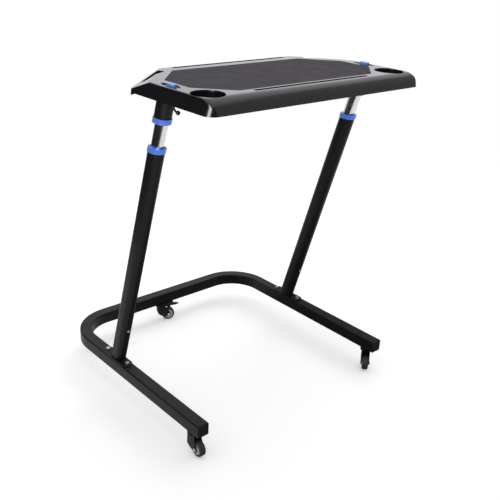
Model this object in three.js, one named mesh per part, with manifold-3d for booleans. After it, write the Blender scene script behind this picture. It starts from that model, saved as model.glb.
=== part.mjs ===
// Height-adjustable desk for a rider on a bicycle trainer.
// Millimetres, +Z up, X across, -Y towards the rider.
// The origin is on the floor, under the middle of the overall width and depth.

import * as THREE from 'three';
import { mergeVertices } from 'three/addons/utils/BufferGeometryUtils.js';
import Module from 'manifold-3d';

const wasm = await Module();
wasm.setup();

// Overall sizes
const overallWidth = 800;
const overallDepth = 777;
const deskHeight = 1030;
const frontY = -overallDepth / 2;
const backY = overallDepth / 2;

// Fits and cuts
const restGap = 0.3;
const slideGap = 0.4;
const overrun = 20;
const mergeTolerance = 0.0005;
const arcSteps = 6;
const roundSides = 10;
const wheelSides = 20;

// Base frame: one square tube bent to a U
const tubeSize = 40;
const tubeWall = 1.8;
const tubeCorner = 4;
const tubeCornerSteps = 2;
const tubeBoreSteps = 1;
const bendRadius = 150;
const bendSteps = 7;
const casterHeight = 75;
const armSetback = 17;
const frameTop = casterHeight + tubeSize;
const armX = (overallWidth - tubeSize) / 2;
const armFrontY = frontY + armSetback;
const capFlange = 3;
const capPlugLength = 22;

// Feet of the legs
const footPlateLength = 140;
const footPlateWidth = 38;
const footPlateThickness = 4;
const footBoltPitch = 112;
const footBoltRadius = 4;
const footBoltLength = 24;
const footBoltHeadRadius = 7;
const footBoltHeadHeight = 5;
const boltSides = 6;

// Desktop shell, measured down from its top face
const deskDepth = 414;
const deskRim = 38;
const deskTopWall = 5;
const deskSideWall = 4;
const sideDraft = 10;
const lipReach = 47;
const lipSteps = 6;
const edgeRound = 5;
const edgeSteps = 2;
const frontCornerRound = 34;
const backCornerRound = 22;
const tipRound = 28;
const cornerSteps = 4;
const backCornerReach = 150;
const backEdgeWidth = overallWidth - 2 * backCornerReach;
const tipSetback = 75;
const facetLength = 158;
const facetDrop = 30;
const facetTipInset = 5;
const tipDroop = 8;
const tipDroopFlat = 14;
const tipDroopRamp = 25;
const tipDroopShift = 3;
const deskBackY = frontY + deskDepth;
const deskUnderside = deskHeight - deskRim;

// Legs: heights along a leg start at the top face of the frame
const leanDegrees = 16.33;
const lean = THREE.MathUtils.degToRad(leanDegrees);
const legInset = 4;
const legX = armX - legInset;
const socketFromLip = 207;
const socketY = frontY + socketFromLip;
const deskBottomInLeg = deskUnderside - frameTop;
const footY = socketY + Math.tan(lean) * deskBottomInLeg;
const outerTubeLong = 52;
const outerTubeShort = 38;
const outerTubeWall = 1.8;
const innerTubeLong = 40;
const innerTubeShort = 26;
const innerTubeWall = 1.5;
const innerEngagement = 343.5;
const legScrewAt = 135;
const legScrewRadius = 2.4;
const legScrewLength = 10;
const legScrewHeadRadius = 4.5;
const legScrewHeadHeight = 3;

// Blue collars and the chrome that shows between them
const collarLong = 56;
const collarShort = 42;
const collarHeight = 15.5;
const collarLip = 6;
const collarRound = 1;
const bushDepth = 40;
const chromeShown = 70.5;
const collarToDesk = 63.5;
const upperCollarBottom = deskBottomInLeg / Math.cos(lean) - collarToDesk;
const lowerCollarTop = upperCollarBottom - chromeShown;
const outerTubeLength = lowerCollarTop - collarLip - restGap;

// Cup pockets
const cupDiameter = 87;
const cupDepth = 35;
const cupWall = 3;
const cupFromSide = 56;
const cupFromLip = 79;
const cupSides = 28;

// Mat and its recess
const matDepth = 2;
const matThickness = 1.7;
const matGap = 0.8;
const matCornerRound = 7;
const matSideMargin = 60;
const matSideWidth = overallWidth - 2 * matSideMargin;
const matBackCorner = 98;
const matBackWidth = matSideWidth - 2 * matBackCorner;
const matFrontCorner = 88;
const matFrontWidth = matSideWidth - 2 * matFrontCorner;
const matFromBack = 50;
const matBackCornerDepth = 101;
const matFromLip = 71;
const matFrontCornerDepth = 84;

// Device slots
const slotFromSide = 185;
const slotLength = overallWidth - 2 * slotFromSide;
const slotWidth = 10;
const slotDepth = 14;
const slotWall = 3;
const frontSlotFromLip = 55;
const rearSlotInset = 13;

// Hand holes in the sloping back corners
const handLength = 100;
const handWidth = 24;
const handInset = 25;
const handWall = 4;

// Panel that closes the shell from below
const panelThickness = 3;
const panelRecess = 4;
const panelBottom = -deskRim + panelRecess;
const panelTop = panelBottom + panelThickness;

// Height release
const buttonInset = 9;
const buttonX = legX - buttonInset;
const buttonLong = 34;
const buttonShort = 17;
const buttonRise = 6.5;
const buttonSkirt = 3;
const buttonFlangeReach = 3.5;
const buttonGap = 0.6;
const buttonCrown = 2;
const buttonTravel = 5;
const recessLong = 83;
const recessShort = 30;
const recessShift = 2.5;
const recessDepth = 3;
const rodOffset = 5;
const rodRadius = 3;
const rodHoleRadius = 4;
const springRadius = 6.5;
const springWire = 0.7;
const springCoils = 4;
const springCoilSteps = 8;
const springWireSides = 5;

// Upper sockets with their flanges and screws
const flangeLength = 92;
const flangeWidth = 36.6;
const flangeThickness = panelRecess - restGap;
const socketScrewPitch = 80;
const socketScrewRadius = 2.3;
const socketScrewHeadRadius = 4.5;
const socketScrewHeadHeight = 2.5;
const socketScrewLength = 18;
const bossRadius = 6;
const screwHoleGap = 0.4;

// Hooks under the desk
const hookSetback = 32;
const hookReach = 20;
const hookDrop = 21;
const hookWire = 2.2;
const hookBall = 4.6;
const hookSteps = 5;
const hookSides = 8;

// Glide block and friction lock inside each leg
const glideHead = 46;
const glidePlug = 30;
const shoeHeight = 20;
const shoeWidth = 12;
const shoeTail = 11;
const shoePocketHeight = 20.8;
const shoePocketWidth = 12.8;
const shoeFromTop = 12;
const wedgeSlope = 0.5;
const wedgeTip = 0.6;
const windowWidth = 7;
const shoeGap = 0.3;
const shoeSpringRadius = 3;
const shoeSpringWire = 0.5;
const shoeSpringDepth = 5;
const shoeSpringCoils = 3;

// Casters, measured up from the floor
const frontCasterSetback = 42;
const wheelRadius = 24;
const wheelWidth = 20;
const hubRadius = 16.5;
const hubDish = 2.5;
const hubRim = 2.5;
const hubBoss = 6;
const tyreRound = 4;
const tyreRoundSteps = 2;
const axleRadius = 3;
const axleGap = 0.3;
const axleHeadRadius = 5.5;
const axleHeadHeight = 2.4;
const casterTrail = 24;
const forkWall = 2.6;
const forkInside = 22.6;
const forkTop = 71.3;
const forkRoof = 3.2;
const forkTopRadius = 20;
const forkHousing = 7.4;
const forkLeadingDrop = 25;
const forkAxleRadius = 8;
const forkAxleAbove = 17;
const raceRadius = 20;
const raceThickness = 3;
const stemRadius = 5;
const stemLength = 22;
const kingpinRadius = 4;
const kingpinHeadRadius = 7;
const kingpinHeadHeight = 3;
const rearPlateLength = 76;
const rearPlateWidth = 44;
const frontLeftTrail = 268;
const frontRightTrail = 222;
const rearTrail = 338;

// Brake pedal of the rear caster
const pedalHingeReach = 15;
const pedalHingeHeight = 57;
const pedalLength = 51;
const pedalWidth = 21;
const pedalTipWidth = 12;
const pedalThickness = 2.6;
const pedalRise = 2;
const pedalKnuckle = 4;
const pedalHole = 3;
const pedalHoleFromTip = 8;
const pedalPinRadius = 2;
const pedalPinHead = 3.2;
const pedalPadLength = 10;
const pedalPadStart = 22;
const pedalPadGap = 2;

// Finishes
const finish = (color, roughness, metalness) => (
  new THREE.MeshStandardMaterial({ color, roughness, metalness })
);
const blackPaint = finish(0x1f1f21, 0.45, 0.3);
const blackShell = finish(0x242327, 0.35, 0);
const blackPlastic = finish(0x1b1b1d, 0.6, 0);
const matGrey = finish(0x4a474c, 0.95, 0);
const chrome = finish(0xd8dadd, 0.12, 1);
const zincSteel = finish(0xb9bbbe, 0.35, 1);
const bluePlastic = finish(0x2f6fd0, 0.4, 0);
const buttonBlue = finish(0x3f74d8, 0.35, 0);
const hubGrey = finish(0xb4b4b4, 0.5, 0);
const tyreBlack = finish(0x262626, 0.7, 0);

// Joining and cutting

function solidFrom(body) {
  if (!body.isBufferGeometry) return body;
  const plain = body.clone();
  plain.deleteAttribute('normal');
  plain.deleteAttribute('uv');
  const merged = mergeVertices(plain, mergeTolerance);
  const corners = merged.index.array;
  const kept = [];
  for (let i = 0; i < corners.length; i += 3) {
    const [a, b, c] = [corners[i], corners[i + 1], corners[i + 2]];
    if (a !== b && b !== c && c !== a) kept.push(a, b, c);
  }
  const vertProperties = new Float32Array(merged.attributes.position.array);
  return new wasm.Manifold(new wasm.Mesh({ numProp: 3, vertProperties, triVerts: new Uint32Array(kept) }));
}

function geometryFrom(body) {
  const mesh = solidFrom(body).getMesh();
  const geometry = new THREE.BufferGeometry();
  geometry.setAttribute('position', new THREE.BufferAttribute(mesh.vertProperties, 3));
  geometry.setIndex(new THREE.BufferAttribute(mesh.triVerts, 1));
  const faceted = geometry.toNonIndexed();
  faceted.computeVertexNormals();
  return faceted;
}

const cut = (body, ...tools) => (
  tools.reduce((solid, tool) => solid.subtract(solidFrom(tool)), solidFrom(body))
);
const join = (body, ...more) => (
  more.reduce((solid, other) => solid.add(solidFrom(other)), solidFrom(body))
);
const common = (body, ...more) => (
  more.reduce((solid, other) => solid.intersect(solidFrom(other)), solidFrom(body))
);

// Outlines, as lists of points

function arc(centreX, centreY, radius, from, to, steps) {
  const points = [];
  for (let i = 0; i <= steps; i++) {
    const angle = from + (to - from) * i / steps;
    points.push(new THREE.Vector2(centreX + radius * Math.cos(angle), centreY + radius * Math.sin(angle)));
  }
  return points;
}

// A flat oval with its long side along Y
function oval(long, short, steps = arcSteps) {
  const half = (long - short) / 2;
  const back = arc(0, half, short / 2, 0, Math.PI, steps);
  const front = arc(0, -half, short / 2, Math.PI, 2 * Math.PI, steps);
  return [...back, ...front];
}

// A lens of two arcs with its long side along Y
function lens(long, short, steps = arcSteps) {
  const radius = (long * long + short * short) / (4 * short);
  const half = Math.asin(long / 2 / radius);
  const offset = radius - short / 2;
  const right = arc(-offset, 0, radius, -half, half, steps);
  const left = arc(offset, 0, radius, Math.PI - half, Math.PI + half, steps);
  return [...right, ...left.slice(1, -1)];
}

// A convex outline, counter-clockwise, moved inwards by inset and rounded at each corner
function rounded(corners, inset, steps) {
  const edges = corners.map((corner, i) => {
    const next = corners[(i + 1) % corners.length];
    const along = new THREE.Vector2(next.x - corner.x, next.y - corner.y).normalize();
    const inwards = new THREE.Vector2(-along.y, along.x);
    const start = new THREE.Vector2(corner.x, corner.y).addScaledVector(inwards, inset);
    return { start, along, inwards };
  });
  return corners.flatMap((corner, i) => {
    const before = edges[(i + corners.length - 1) % corners.length];
    const after = edges[i];
    const turn = before.along.cross(after.along);
    const gap = after.start.clone().sub(before.start);
    const meet = before.start.clone().addScaledVector(before.along, gap.cross(after.along) / turn);
    const radius = Math.max(corner.round - inset, 0);
    if (radius === 0) return [meet];
    const angle = Math.atan2(turn, before.along.dot(after.along));
    const reach = radius * Math.tan(angle / 2);
    const centre = meet.clone().addScaledVector(before.along, -reach).addScaledVector(before.inwards, radius);
    const from = Math.atan2(-before.inwards.y, -before.inwards.x);
    return arc(centre.x, centre.y, radius, from, from + angle, steps);
  });
}

const rectangle = (width, depth, round = 0) => [
  { x: -width / 2, y: -depth / 2, round },
  { x: width / 2, y: -depth / 2, round },
  { x: width / 2, y: depth / 2, round },
  { x: -width / 2, y: depth / 2, round },
];

// Bodies

function prism(points, low, high) {
  const settings = { depth: high - low, bevelEnabled: false };
  return new THREE.ExtrudeGeometry(new THREE.Shape(points), settings).translate(0, 0, low);
}

// A flat oval bar with both rims rounded off
function softOval(long, short, low, high, round) {
  const shape = new THREE.Shape(oval(long - 2 * round, short - 2 * round));
  const depth = high - low - 2 * round;
  const settings = { depth, bevelThickness: round, bevelSize: round, bevelSegments: edgeSteps };
  return new THREE.ExtrudeGeometry(shape, settings).translate(0, 0, low + round);
}

const post = (radius, low, high, sides = roundSides) => (
  new THREE.CylinderGeometry(radius, radius, high - low, sides)
    .rotateX(Math.PI / 2).translate(0, 0, (low + high) / 2)
);

// A round outline about a centre
const circle = (centreX, centreY, radius, steps = roundSides) => (
  arc(centreX, centreY, radius, 0, 2 * Math.PI, steps).slice(0, -1)
);

const block = (width, depth, low, high) => (
  new THREE.BoxGeometry(width, depth, high - low).translate(0, 0, (low + high) / 2)
);

// Outlines drawn in Y and Z, extruded along X
function crosswise(points, width) {
  const basis = new THREE.Matrix4().makeBasis(
    new THREE.Vector3(0, 1, 0), new THREE.Vector3(0, 0, 1), new THREE.Vector3(1, 0, 0));
  return prism(points, -width / 2, width / 2).applyMatrix4(basis);
}

// Outlines drawn in X and Z, extruded along Y between front and back
function lengthwise(points, front, back) {
  const basis = new THREE.Matrix4().makeBasis(
    new THREE.Vector3(1, 0, 0), new THREE.Vector3(0, 0, 1), new THREE.Vector3(0, -1, 0));
  return prism(points, -back, -front).applyMatrix4(basis);
}

// A level body whose upright lines follow the lean of the legs
const leaning = (geometry) => (
  geometry.applyMatrix4(new THREE.Matrix4().makeShear(0, 0, 0, 0, 0, -Math.tan(lean)))
);

// A turned body from a closed profile of radius and height
function turned(points, sides) {
  const closed = [...points, points[0].clone()];
  return new THREE.LatheGeometry(closed, sides).rotateX(Math.PI / 2);
}

// A round wire along a curve
function wire(curve, radius, steps, sides) {
  const section = new THREE.Shape(circle(0, 0, radius, sides));
  return new THREE.ExtrudeGeometry(section, { steps, extrudePath: curve });
}

class CoilCurve extends THREE.Curve {
  constructor(radius, length, coils) {
    super();
    Object.assign(this, { radius, length, coils });
  }

  getPoint(t, target = new THREE.Vector3()) {
    const angle = 2 * Math.PI * this.coils * t;
    return target.set(this.radius * Math.cos(angle), this.radius * Math.sin(angle), this.length * t);
  }
}

const coil = (radius, wireRadius, length, coils) => (
  wire(new CoilCurve(radius, length, coils), wireRadius, coils * springCoilSteps, springWireSides)
);

const part = new THREE.Group();

function place(name, body, material, parent = part) {
  const mesh = new THREE.Mesh(geometryFrom(body), material);
  mesh.name = name;
  parent.add(mesh);
  return mesh;
}

const sides = [{ name: 'left', sign: -1 }, { name: 'right', sign: 1 }];

// Base frame

// The U of a square bar: its outline in plan, extruded upwards with rounded edges
function frameBand(size, corner, steps) {
  const half = size / 2 - corner;
  const middle = bendRadius - tubeSize / 2;
  const centreX = armX - middle;
  const centreY = backY - bendRadius;
  const startY = armFrontY - overrun;
  const outline = [
    new THREE.Vector2(-armX - half, startY),
    ...arc(-centreX, centreY, middle + half, Math.PI, Math.PI / 2, bendSteps),
    ...arc(centreX, centreY, middle + half, Math.PI / 2, 0, bendSteps),
    new THREE.Vector2(armX + half, startY),
    new THREE.Vector2(armX - half, startY),
    ...arc(centreX, centreY, middle - half, 0, Math.PI / 2, bendSteps),
    ...arc(-centreX, centreY, middle - half, Math.PI / 2, Math.PI, bendSteps),
    new THREE.Vector2(-armX + half, startY),
  ];
  const settings = { depth: 2 * half, bevelThickness: corner, bevelSize: corner, bevelSegments: steps };
  const bottom = frameTop - tubeSize / 2 - half;
  return new THREE.ExtrudeGeometry(new THREE.Shape(outline), settings).translate(0, 0, bottom);
}

const frontCasterY = armFrontY + frontCasterSetback;
const rearCasterY = backY - tubeSize / 2;
const casterPivots = [
  { name: 'front_left', x: -armX, y: frontCasterY, trail: frontLeftTrail },
  { name: 'front_right', x: armX, y: frontCasterY, trail: frontRightTrail },
  { name: 'rear', x: 0, y: rearCasterY, trail: rearTrail },
];
const frameEndY = armFrontY + capFlange;
const bore = tubeSize - 2 * tubeWall;
const boltHoles = sides.flatMap(({ sign }) => [-1, 1].map((end) => (
  post(footBoltRadius + slideGap, frameTop - tubeSize / 2, frameTop + overrun)
    .translate(sign * armX, footY + end * footBoltPitch / 2, 0)
)));
const stemHoles = casterPivots.map(({ x, y }) => (
  post(stemRadius + slideGap, casterHeight - overrun, casterHeight + tubeSize / 2).translate(x, y, 0)
));
const beforeEnds = new THREE.BoxGeometry(2 * overallWidth, overallWidth, overallWidth)
  .translate(0, frameEndY - overallWidth / 2, frameTop);
place('base_frame', cut(
  frameBand(tubeSize, tubeCorner, tubeCornerSteps),
  frameBand(bore, tubeCorner - tubeWall, tubeBoreSteps), beforeEnds,
  ...boltHoles, ...stemHoles), blackPaint);

for (const { name, sign } of sides) {
  const flange = rounded(rectangle(tubeSize, tubeSize, tubeCorner), 0, tubeCornerSteps);
  const plugSize = bore - 2 * restGap;
  const plug = rounded(rectangle(plugSize, plugSize, tubeCorner - tubeWall), 0, tubeBoreSteps);
  const cap = join(
    lengthwise(flange, armFrontY, frameEndY),
    lengthwise(plug, armFrontY + capFlange / 2, frameEndY + capPlugLength));
  const mesh = place(`arm_end_cap_${name}`, cap, blackPlastic);
  mesh.position.set(sign * armX, 0, frameTop - tubeSize / 2);
}

// Feet

for (const { name, sign } of sides) {
  const foot = new THREE.Group();
  foot.position.set(sign * armX, footY, frameTop);
  part.add(foot);
  const holes = [-1, 1].map((end) => (
    post(footBoltRadius + slideGap, -overrun, overrun).translate(0, end * footBoltPitch / 2, 0)
  ));
  const plate = cut(prism(oval(footPlateLength, footPlateWidth), 0, footPlateThickness), ...holes);
  place(`foot_plate_${name}`, plate, blackPaint, foot);
  for (const end of [-1, 1]) {
    const bolt = join(
      post(footBoltHeadRadius, footPlateThickness, footPlateThickness + footBoltHeadHeight, boltSides),
      post(footBoltRadius, footPlateThickness - footBoltLength, footPlateThickness + footBoltHeadHeight / 2));
    const mesh = place(`foot_bolt_${name}_${end < 0 ? 'front' : 'back'}`, bolt, zincSteel, foot);
    mesh.position.set(0, end * footBoltPitch / 2, 0);
  }
}

// Legs

const levelCutter = (height, above) => {
  const size = outerTubeLength;
  const middle = above ? height + size / 2 : height - size / 2;
  return new THREE.BoxGeometry(size, size, size).translate(0, 0, middle).rotateX(-lean);
};
const innerTubeBottom = outerTubeLength - innerEngagement;
const outerBoreLong = outerTubeLong - 2 * outerTubeWall;
const outerBoreShort = outerTubeShort - 2 * outerTubeWall;
const innerBoreLong = innerTubeLong - 2 * innerTubeWall;
const innerBoreShort = innerTubeShort - 2 * innerTubeWall;
const axisYAt = (height) => footY - Math.tan(lean) * (height - frameTop);

// A flat oval grown all round by a gap
const grown = (long, short, gap) => oval(long + 2 * gap, short + 2 * gap);

const collarSleeve = (bottom, top) => softOval(collarLong, collarShort, bottom, top, collarRound);

function outerTube() {
  const blank = prism(oval(outerTubeLong, outerTubeShort), -outerTubeLong, outerTubeLength);
  const inside = prism(
    oval(outerBoreLong, outerBoreShort), -outerTubeLong - overrun, outerTubeLength + overrun);
  const screwHole = post(legScrewRadius + restGap, 0, outerTubeLong)
    .rotateX(Math.PI / 2).translate(0, 0, legScrewAt);
  return cut(blank, inside, screwHole, levelCutter(footPlateThickness + restGap, false));
}

function legScrew() {
  const seat = outerTubeLong / 2 + restGap;
  return join(
    post(legScrewHeadRadius, seat, seat + legScrewHeadHeight).rotateX(Math.PI / 2),
    post(legScrewRadius, seat - legScrewLength, seat + legScrewHeadHeight / 2).rotateX(Math.PI / 2));
}

function lowerCollar() {
  const sleeve = collarSleeve(lowerCollarTop - collarHeight, lowerCollarTop);
  const seatTop = outerTubeLength + restGap;
  const seat = prism(
    grown(outerTubeLong, outerTubeShort, restGap), lowerCollarTop - collarHeight - overrun, seatTop);
  const bush = prism(
    grown(outerBoreLong, outerBoreShort, -restGap), seatTop - bushDepth, seatTop + collarLip / 2);
  const guide = prism(
    grown(innerTubeLong, innerTubeShort, slideGap),
    seatTop - bushDepth - overrun, lowerCollarTop + overrun);
  return cut(join(cut(sleeve, seat), bush), guide);
}

function upperCollar() {
  const sleeve = collarSleeve(upperCollarBottom, upperCollarBottom + collarHeight);
  const seat = prism(
    grown(outerTubeLong, outerTubeShort, restGap),
    upperCollarBottom + collarLip, upperCollarBottom + collarHeight + overrun);
  const passage = prism(
    grown(innerTubeLong, innerTubeShort, restGap),
    upperCollarBottom - overrun, upperCollarBottom + collarHeight);
  return cut(sleeve, seat, passage);
}

function upperSocket(rodX) {
  const bottom = upperCollarBottom + collarLip + restGap;
  const top = deskBottomInLeg / Math.cos(lean) + outerTubeLong;
  const tube = cut(
    prism(oval(outerTubeLong, outerTubeShort), bottom, top),
    levelCutter(deskBottomInLeg + flangeThickness / 2, true));
  const flange = prism(oval(flangeLength, flangeWidth), deskBottomInLeg, deskBottomInLeg + flangeThickness)
    .translate(0, -Math.tan(lean) * deskBottomInLeg, 0).rotateX(-lean);
  const inside = cut(
    prism(grown(innerTubeLong, innerTubeShort, restGap), bottom - overrun, top),
    levelCutter(deskBottomInLeg, true));
  const rodHole = post(rodHoleRadius, bottom, top).translate(rodX, 0, 0);
  const screwHoles = [-1, 1].map((end) => (
    post(socketScrewRadius + screwHoleGap, deskBottomInLeg - overrun, deskBottomInLeg + overrun)
      .translate(0, end * socketScrewPitch / 2 - Math.tan(lean) * deskBottomInLeg, 0).rotateX(-lean)
  ));
  return cut(join(tube, flange), inside, rodHole, ...screwHoles);
}

function innerTube() {
  const top = deskBottomInLeg / Math.cos(lean) + outerTubeLong;
  const blank = prism(oval(innerTubeLong, innerTubeShort), innerTubeBottom, top);
  const inside = prism(oval(innerBoreLong, innerBoreShort), innerTubeBottom - overrun, top + overrun);
  return cut(blank, inside, levelCutter(deskBottomInLeg - restGap, true));
}

// The friction lock: the rod's slanted end draws the shoe away from the tube's back wall
const glideTop = innerTubeBottom - restGap;
const pocketTop = glideTop - shoeFromTop;
const pocketBottom = pocketTop - shoePocketHeight;
const shoeTop = pocketTop - (shoePocketHeight - shoeHeight) / 2;
const shoeBottom = shoeTop - shoeHeight;
const shoeTravel = buttonTravel * wedgeSlope;
const rodTip = shoeBottom + buttonTravel + restGap;
const pocketFront = -shoeTail - shoeGap - shoeTravel - shoeSpringWire;

function glideBlock(rodX) {
  const head = prism(grown(outerBoreLong, outerBoreShort, -slideGap), glideTop - glideHead, glideTop);
  const plug = prism(
    grown(innerBoreLong, innerBoreShort, -restGap), glideTop - restGap, glideTop + glidePlug);
  const rodHole = post(rodRadius + slideGap, glideTop - glideHead - overrun, glideTop + glidePlug + overrun)
    .translate(rodX, 0, 0);
  const pocketLength = outerTubeLong / 2 + overrun - pocketFront;
  const pocket = block(shoePocketWidth, pocketLength, pocketBottom, pocketTop)
    .translate(rodX, pocketFront + pocketLength / 2, 0);
  const springPocket = post(shoeSpringRadius + restGap, -restGap, shoeSpringDepth)
    .rotateX(Math.PI / 2).translate(rodX, pocketFront, (pocketTop + pocketBottom) / 2);
  return cut(join(head, plug), rodHole, pocket, springPocket);
}

// Everything in front of the slanted face, which passes the rod's middle near its tip
function beforeSlant(rodX, gap) {
  const low = shoeBottom - overrun;
  const high = shoeTop + overrun;
  const faceAt = (height) => wedgeTip - gap - wedgeSlope * (height - rodTip);
  const points = [
    new THREE.Vector2(-outerTubeLong, low), new THREE.Vector2(faceAt(low), low),
    new THREE.Vector2(faceAt(high), high), new THREE.Vector2(-outerTubeLong, high),
  ];
  return crosswise(points, outerTubeShort).translate(rodX, 0, 0);
}

function releaseRod(rodX) {
  const top = deskBottomInLeg / Math.cos(lean) + outerTubeLong;
  const level = deskHeight - frameTop - deskTopWall - buttonSkirt - 2 * restGap;
  const bar = post(rodRadius, rodTip, top).translate(rodX, 0, 0);
  return cut(bar, beforeSlant(rodX, 0), levelCutter(level, true));
}

function lockShoe(rodX) {
  const length = outerBoreLong / 2 + shoeTail;
  const blank = block(shoeWidth, length, shoeBottom, shoeTop).translate(rodX, length / 2 - shoeTail, 0);
  const boreShape = prism(
    grown(outerBoreLong, outerBoreShort, -shoeGap), shoeBottom - overrun, shoeTop + overrun);
  const windowBack = rodRadius + slideGap + shoeTravel;
  const window = block(windowWidth, outerTubeLong, shoeBottom - overrun, shoeTop + overrun)
    .translate(rodX, windowBack - outerTubeLong / 2, 0);
  return cut(common(blank, boreShape), cut(window, beforeSlant(rodX, restGap)));
}

for (const { name, sign } of sides) {
  const leg = new THREE.Group();
  leg.position.set(sign * legX, footY, frameTop);
  leg.rotation.x = lean;
  part.add(leg);
  const rodX = -sign * rodOffset;
  place(`outer_tube_${name}`, outerTube(), blackPaint, leg);
  place(`leg_screw_${name}`, legScrew(), zincSteel, leg).position.set(0, 0, legScrewAt);
  place(`lower_collar_${name}`, lowerCollar(), bluePlastic, leg);
  place(`upper_collar_${name}`, upperCollar(), bluePlastic, leg);
  place(`upper_socket_${name}`, upperSocket(rodX), blackPlastic, leg);
  place(`inner_tube_${name}`, innerTube(), chrome, leg);
  place(`glide_block_${name}`, glideBlock(rodX), blackPlastic, leg);
  place(`release_rod_${name}`, releaseRod(rodX), zincSteel, leg);
  place(`lock_shoe_${name}`, lockShoe(rodX), zincSteel, leg);
  const springStart = shoeTail + shoeGap + shoeSpringWire;
  const springEnd = shoeSpringDepth - pocketFront - restGap - shoeSpringWire;
  const shoeSpring = coil(
    shoeSpringRadius - shoeSpringWire, shoeSpringWire, springEnd - springStart, shoeSpringCoils);
  place(`shoe_spring_${name}`, shoeSpring.rotateX(Math.PI / 2), zincSteel, leg)
    .position.set(rodX, -springStart, (pocketTop + pocketBottom) / 2);
}

// Desktop, in a group with its zero at the top face

const desk = new THREE.Group();
desk.position.z = deskHeight;
part.add(desk);

const deskCorners = [
  { x: -overallWidth / 2, y: frontY, round: frontCornerRound },
  { x: overallWidth / 2, y: frontY, round: frontCornerRound },
  { x: overallWidth / 2, y: deskBackY - tipSetback, round: tipRound },
  { x: backEdgeWidth / 2, y: deskBackY, round: backCornerRound },
  { x: -backEdgeWidth / 2, y: deskBackY, round: backCornerRound },
  { x: -overallWidth / 2, y: deskBackY - tipSetback, round: tipRound },
];

// The outside of the shell, or its hollow when the walls are given
function deskBody(wall, topWall, depth) {
  const outline = rounded(deskCorners, wall, cornerSteps);
  const plan = prism(outline, -depth, overrun);
  const sidePoints = [];
  const lipCentre = frontY + lipReach;
  for (let i = 0; i <= lipSteps; i++) {
    const angle = Math.PI - Math.PI / 2 * i / lipSteps;
    sidePoints.push(new THREE.Vector2(
      lipCentre + (lipReach - wall) * Math.cos(angle), -deskRim + (deskRim - topWall) * Math.sin(angle)));
  }
  const edge = arc(deskBackY - wall - edgeRound, -topWall - edgeRound, edgeRound, Math.PI / 2, 0, edgeSteps);
  sidePoints.push(...edge);
  const tipY = deskBackY - tipSetback + tipDroopShift;
  if (wall === 0) {
    const low = -deskRim - tipDroop;
    sidePoints.push(
      new THREE.Vector2(deskBackY, -deskRim),
      new THREE.Vector2(tipY + tipDroopFlat / 2 + tipDroopRamp, -deskRim),
      new THREE.Vector2(tipY + tipDroopFlat / 2, low),
      new THREE.Vector2(tipY - tipDroopFlat / 2, low),
      new THREE.Vector2(tipY - tipDroopFlat / 2 - tipDroopRamp, -deskRim));
  } else {
    sidePoints.push(new THREE.Vector2(deskBackY - wall, -depth), new THREE.Vector2(frontY + wall, -depth));
  }
  const side = crosswise(sidePoints, overallWidth + overrun);
  const half = overallWidth / 2 - wall;
  const shoulder = half - sideDraft;
  const right = arc(shoulder - edgeRound, -topWall - edgeRound, edgeRound, 0, Math.PI / 2, edgeSteps);
  const left = arc(-shoulder + edgeRound, -topWall - edgeRound, edgeRound, Math.PI / 2, Math.PI, edgeSteps);
  const front = lengthwise([
    new THREE.Vector2(-half, -depth), new THREE.Vector2(half, -depth), new THREE.Vector2(half, -deskRim),
    ...right, ...left, new THREE.Vector2(-half, -deskRim),
  ], frontY - overrun, deskBackY + overrun);
  let body = common(plan, side, front);
  for (const { sign } of sides) {
    const fold = [
      new THREE.Vector3(sign * (overallWidth / 2 - sideDraft), deskBackY - facetLength, 0),
      new THREE.Vector3(sign * backEdgeWidth / 2, deskBackY, 0),
      new THREE.Vector3(sign * (overallWidth / 2 - facetTipInset), deskBackY - tipSetback, -facetDrop),
    ];
    const along = fold[1].clone().sub(fold[0]).normalize();
    const normal = along.clone().cross(fold[2].clone().sub(fold[0])).normalize();
    if (normal.z < 0) normal.negate();
    const basis = new THREE.Matrix4().makeBasis(along, normal.clone().cross(along), normal);
    const middle = fold[0].clone().add(fold[1]).divideScalar(2);
    const removed = block(overallWidth, overallWidth, 0, deskRim).applyMatrix4(basis)
      .translate(middle.x, middle.y, -topWall);
    body = cut(body, removed);
  }
  return body;
}

const matFrontY = frontY + matFromLip;
const matBackY = deskBackY - matFromBack;
const matOutline = [
  { x: -matFrontWidth / 2, y: matFrontY },
  { x: matFrontWidth / 2, y: matFrontY },
  { x: matSideWidth / 2, y: matFrontY + matFrontCornerDepth },
  { x: matSideWidth / 2, y: matBackY - matBackCornerDepth },
  { x: matBackWidth / 2, y: matBackY },
  { x: -matBackWidth / 2, y: matBackY },
  { x: -matSideWidth / 2, y: matBackY - matBackCornerDepth },
  { x: -matSideWidth / 2, y: matFrontY + matFrontCornerDepth },
].map((corner) => ({ ...corner, round: matCornerRound }));

const cupX = overallWidth / 2 - cupFromSide;
const cupY = frontY + cupFromLip;
const cupRadius = cupDiameter / 2;
const slotYs = [frontY + frontSlotFromLip, deskBackY - rearSlotInset];
const buttonY = axisYAt(deskHeight);
const socketScrewTop = socketScrewLength - restGap - socketScrewHeadHeight - deskRim;

// An upright oval along the outer edge of a back corner
function handOval(long, short, low, high, sign) {
  const tip = new THREE.Vector2(sign * overallWidth / 2, deskBackY - tipSetback);
  const end = new THREE.Vector2(sign * backEdgeWidth / 2, deskBackY);
  const middle = tip.clone().add(end).divideScalar(2);
  const along = end.clone().sub(tip).normalize();
  const inwards = new THREE.Vector2(-along.y, along.x).multiplyScalar(sign);
  middle.addScaledVector(inwards, handInset);
  const turn = Math.atan2(along.y, along.x) - Math.PI / 2;
  return prism(oval(long, short), low, high).rotateZ(turn).translate(middle.x, middle.y, 0);
}

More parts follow.
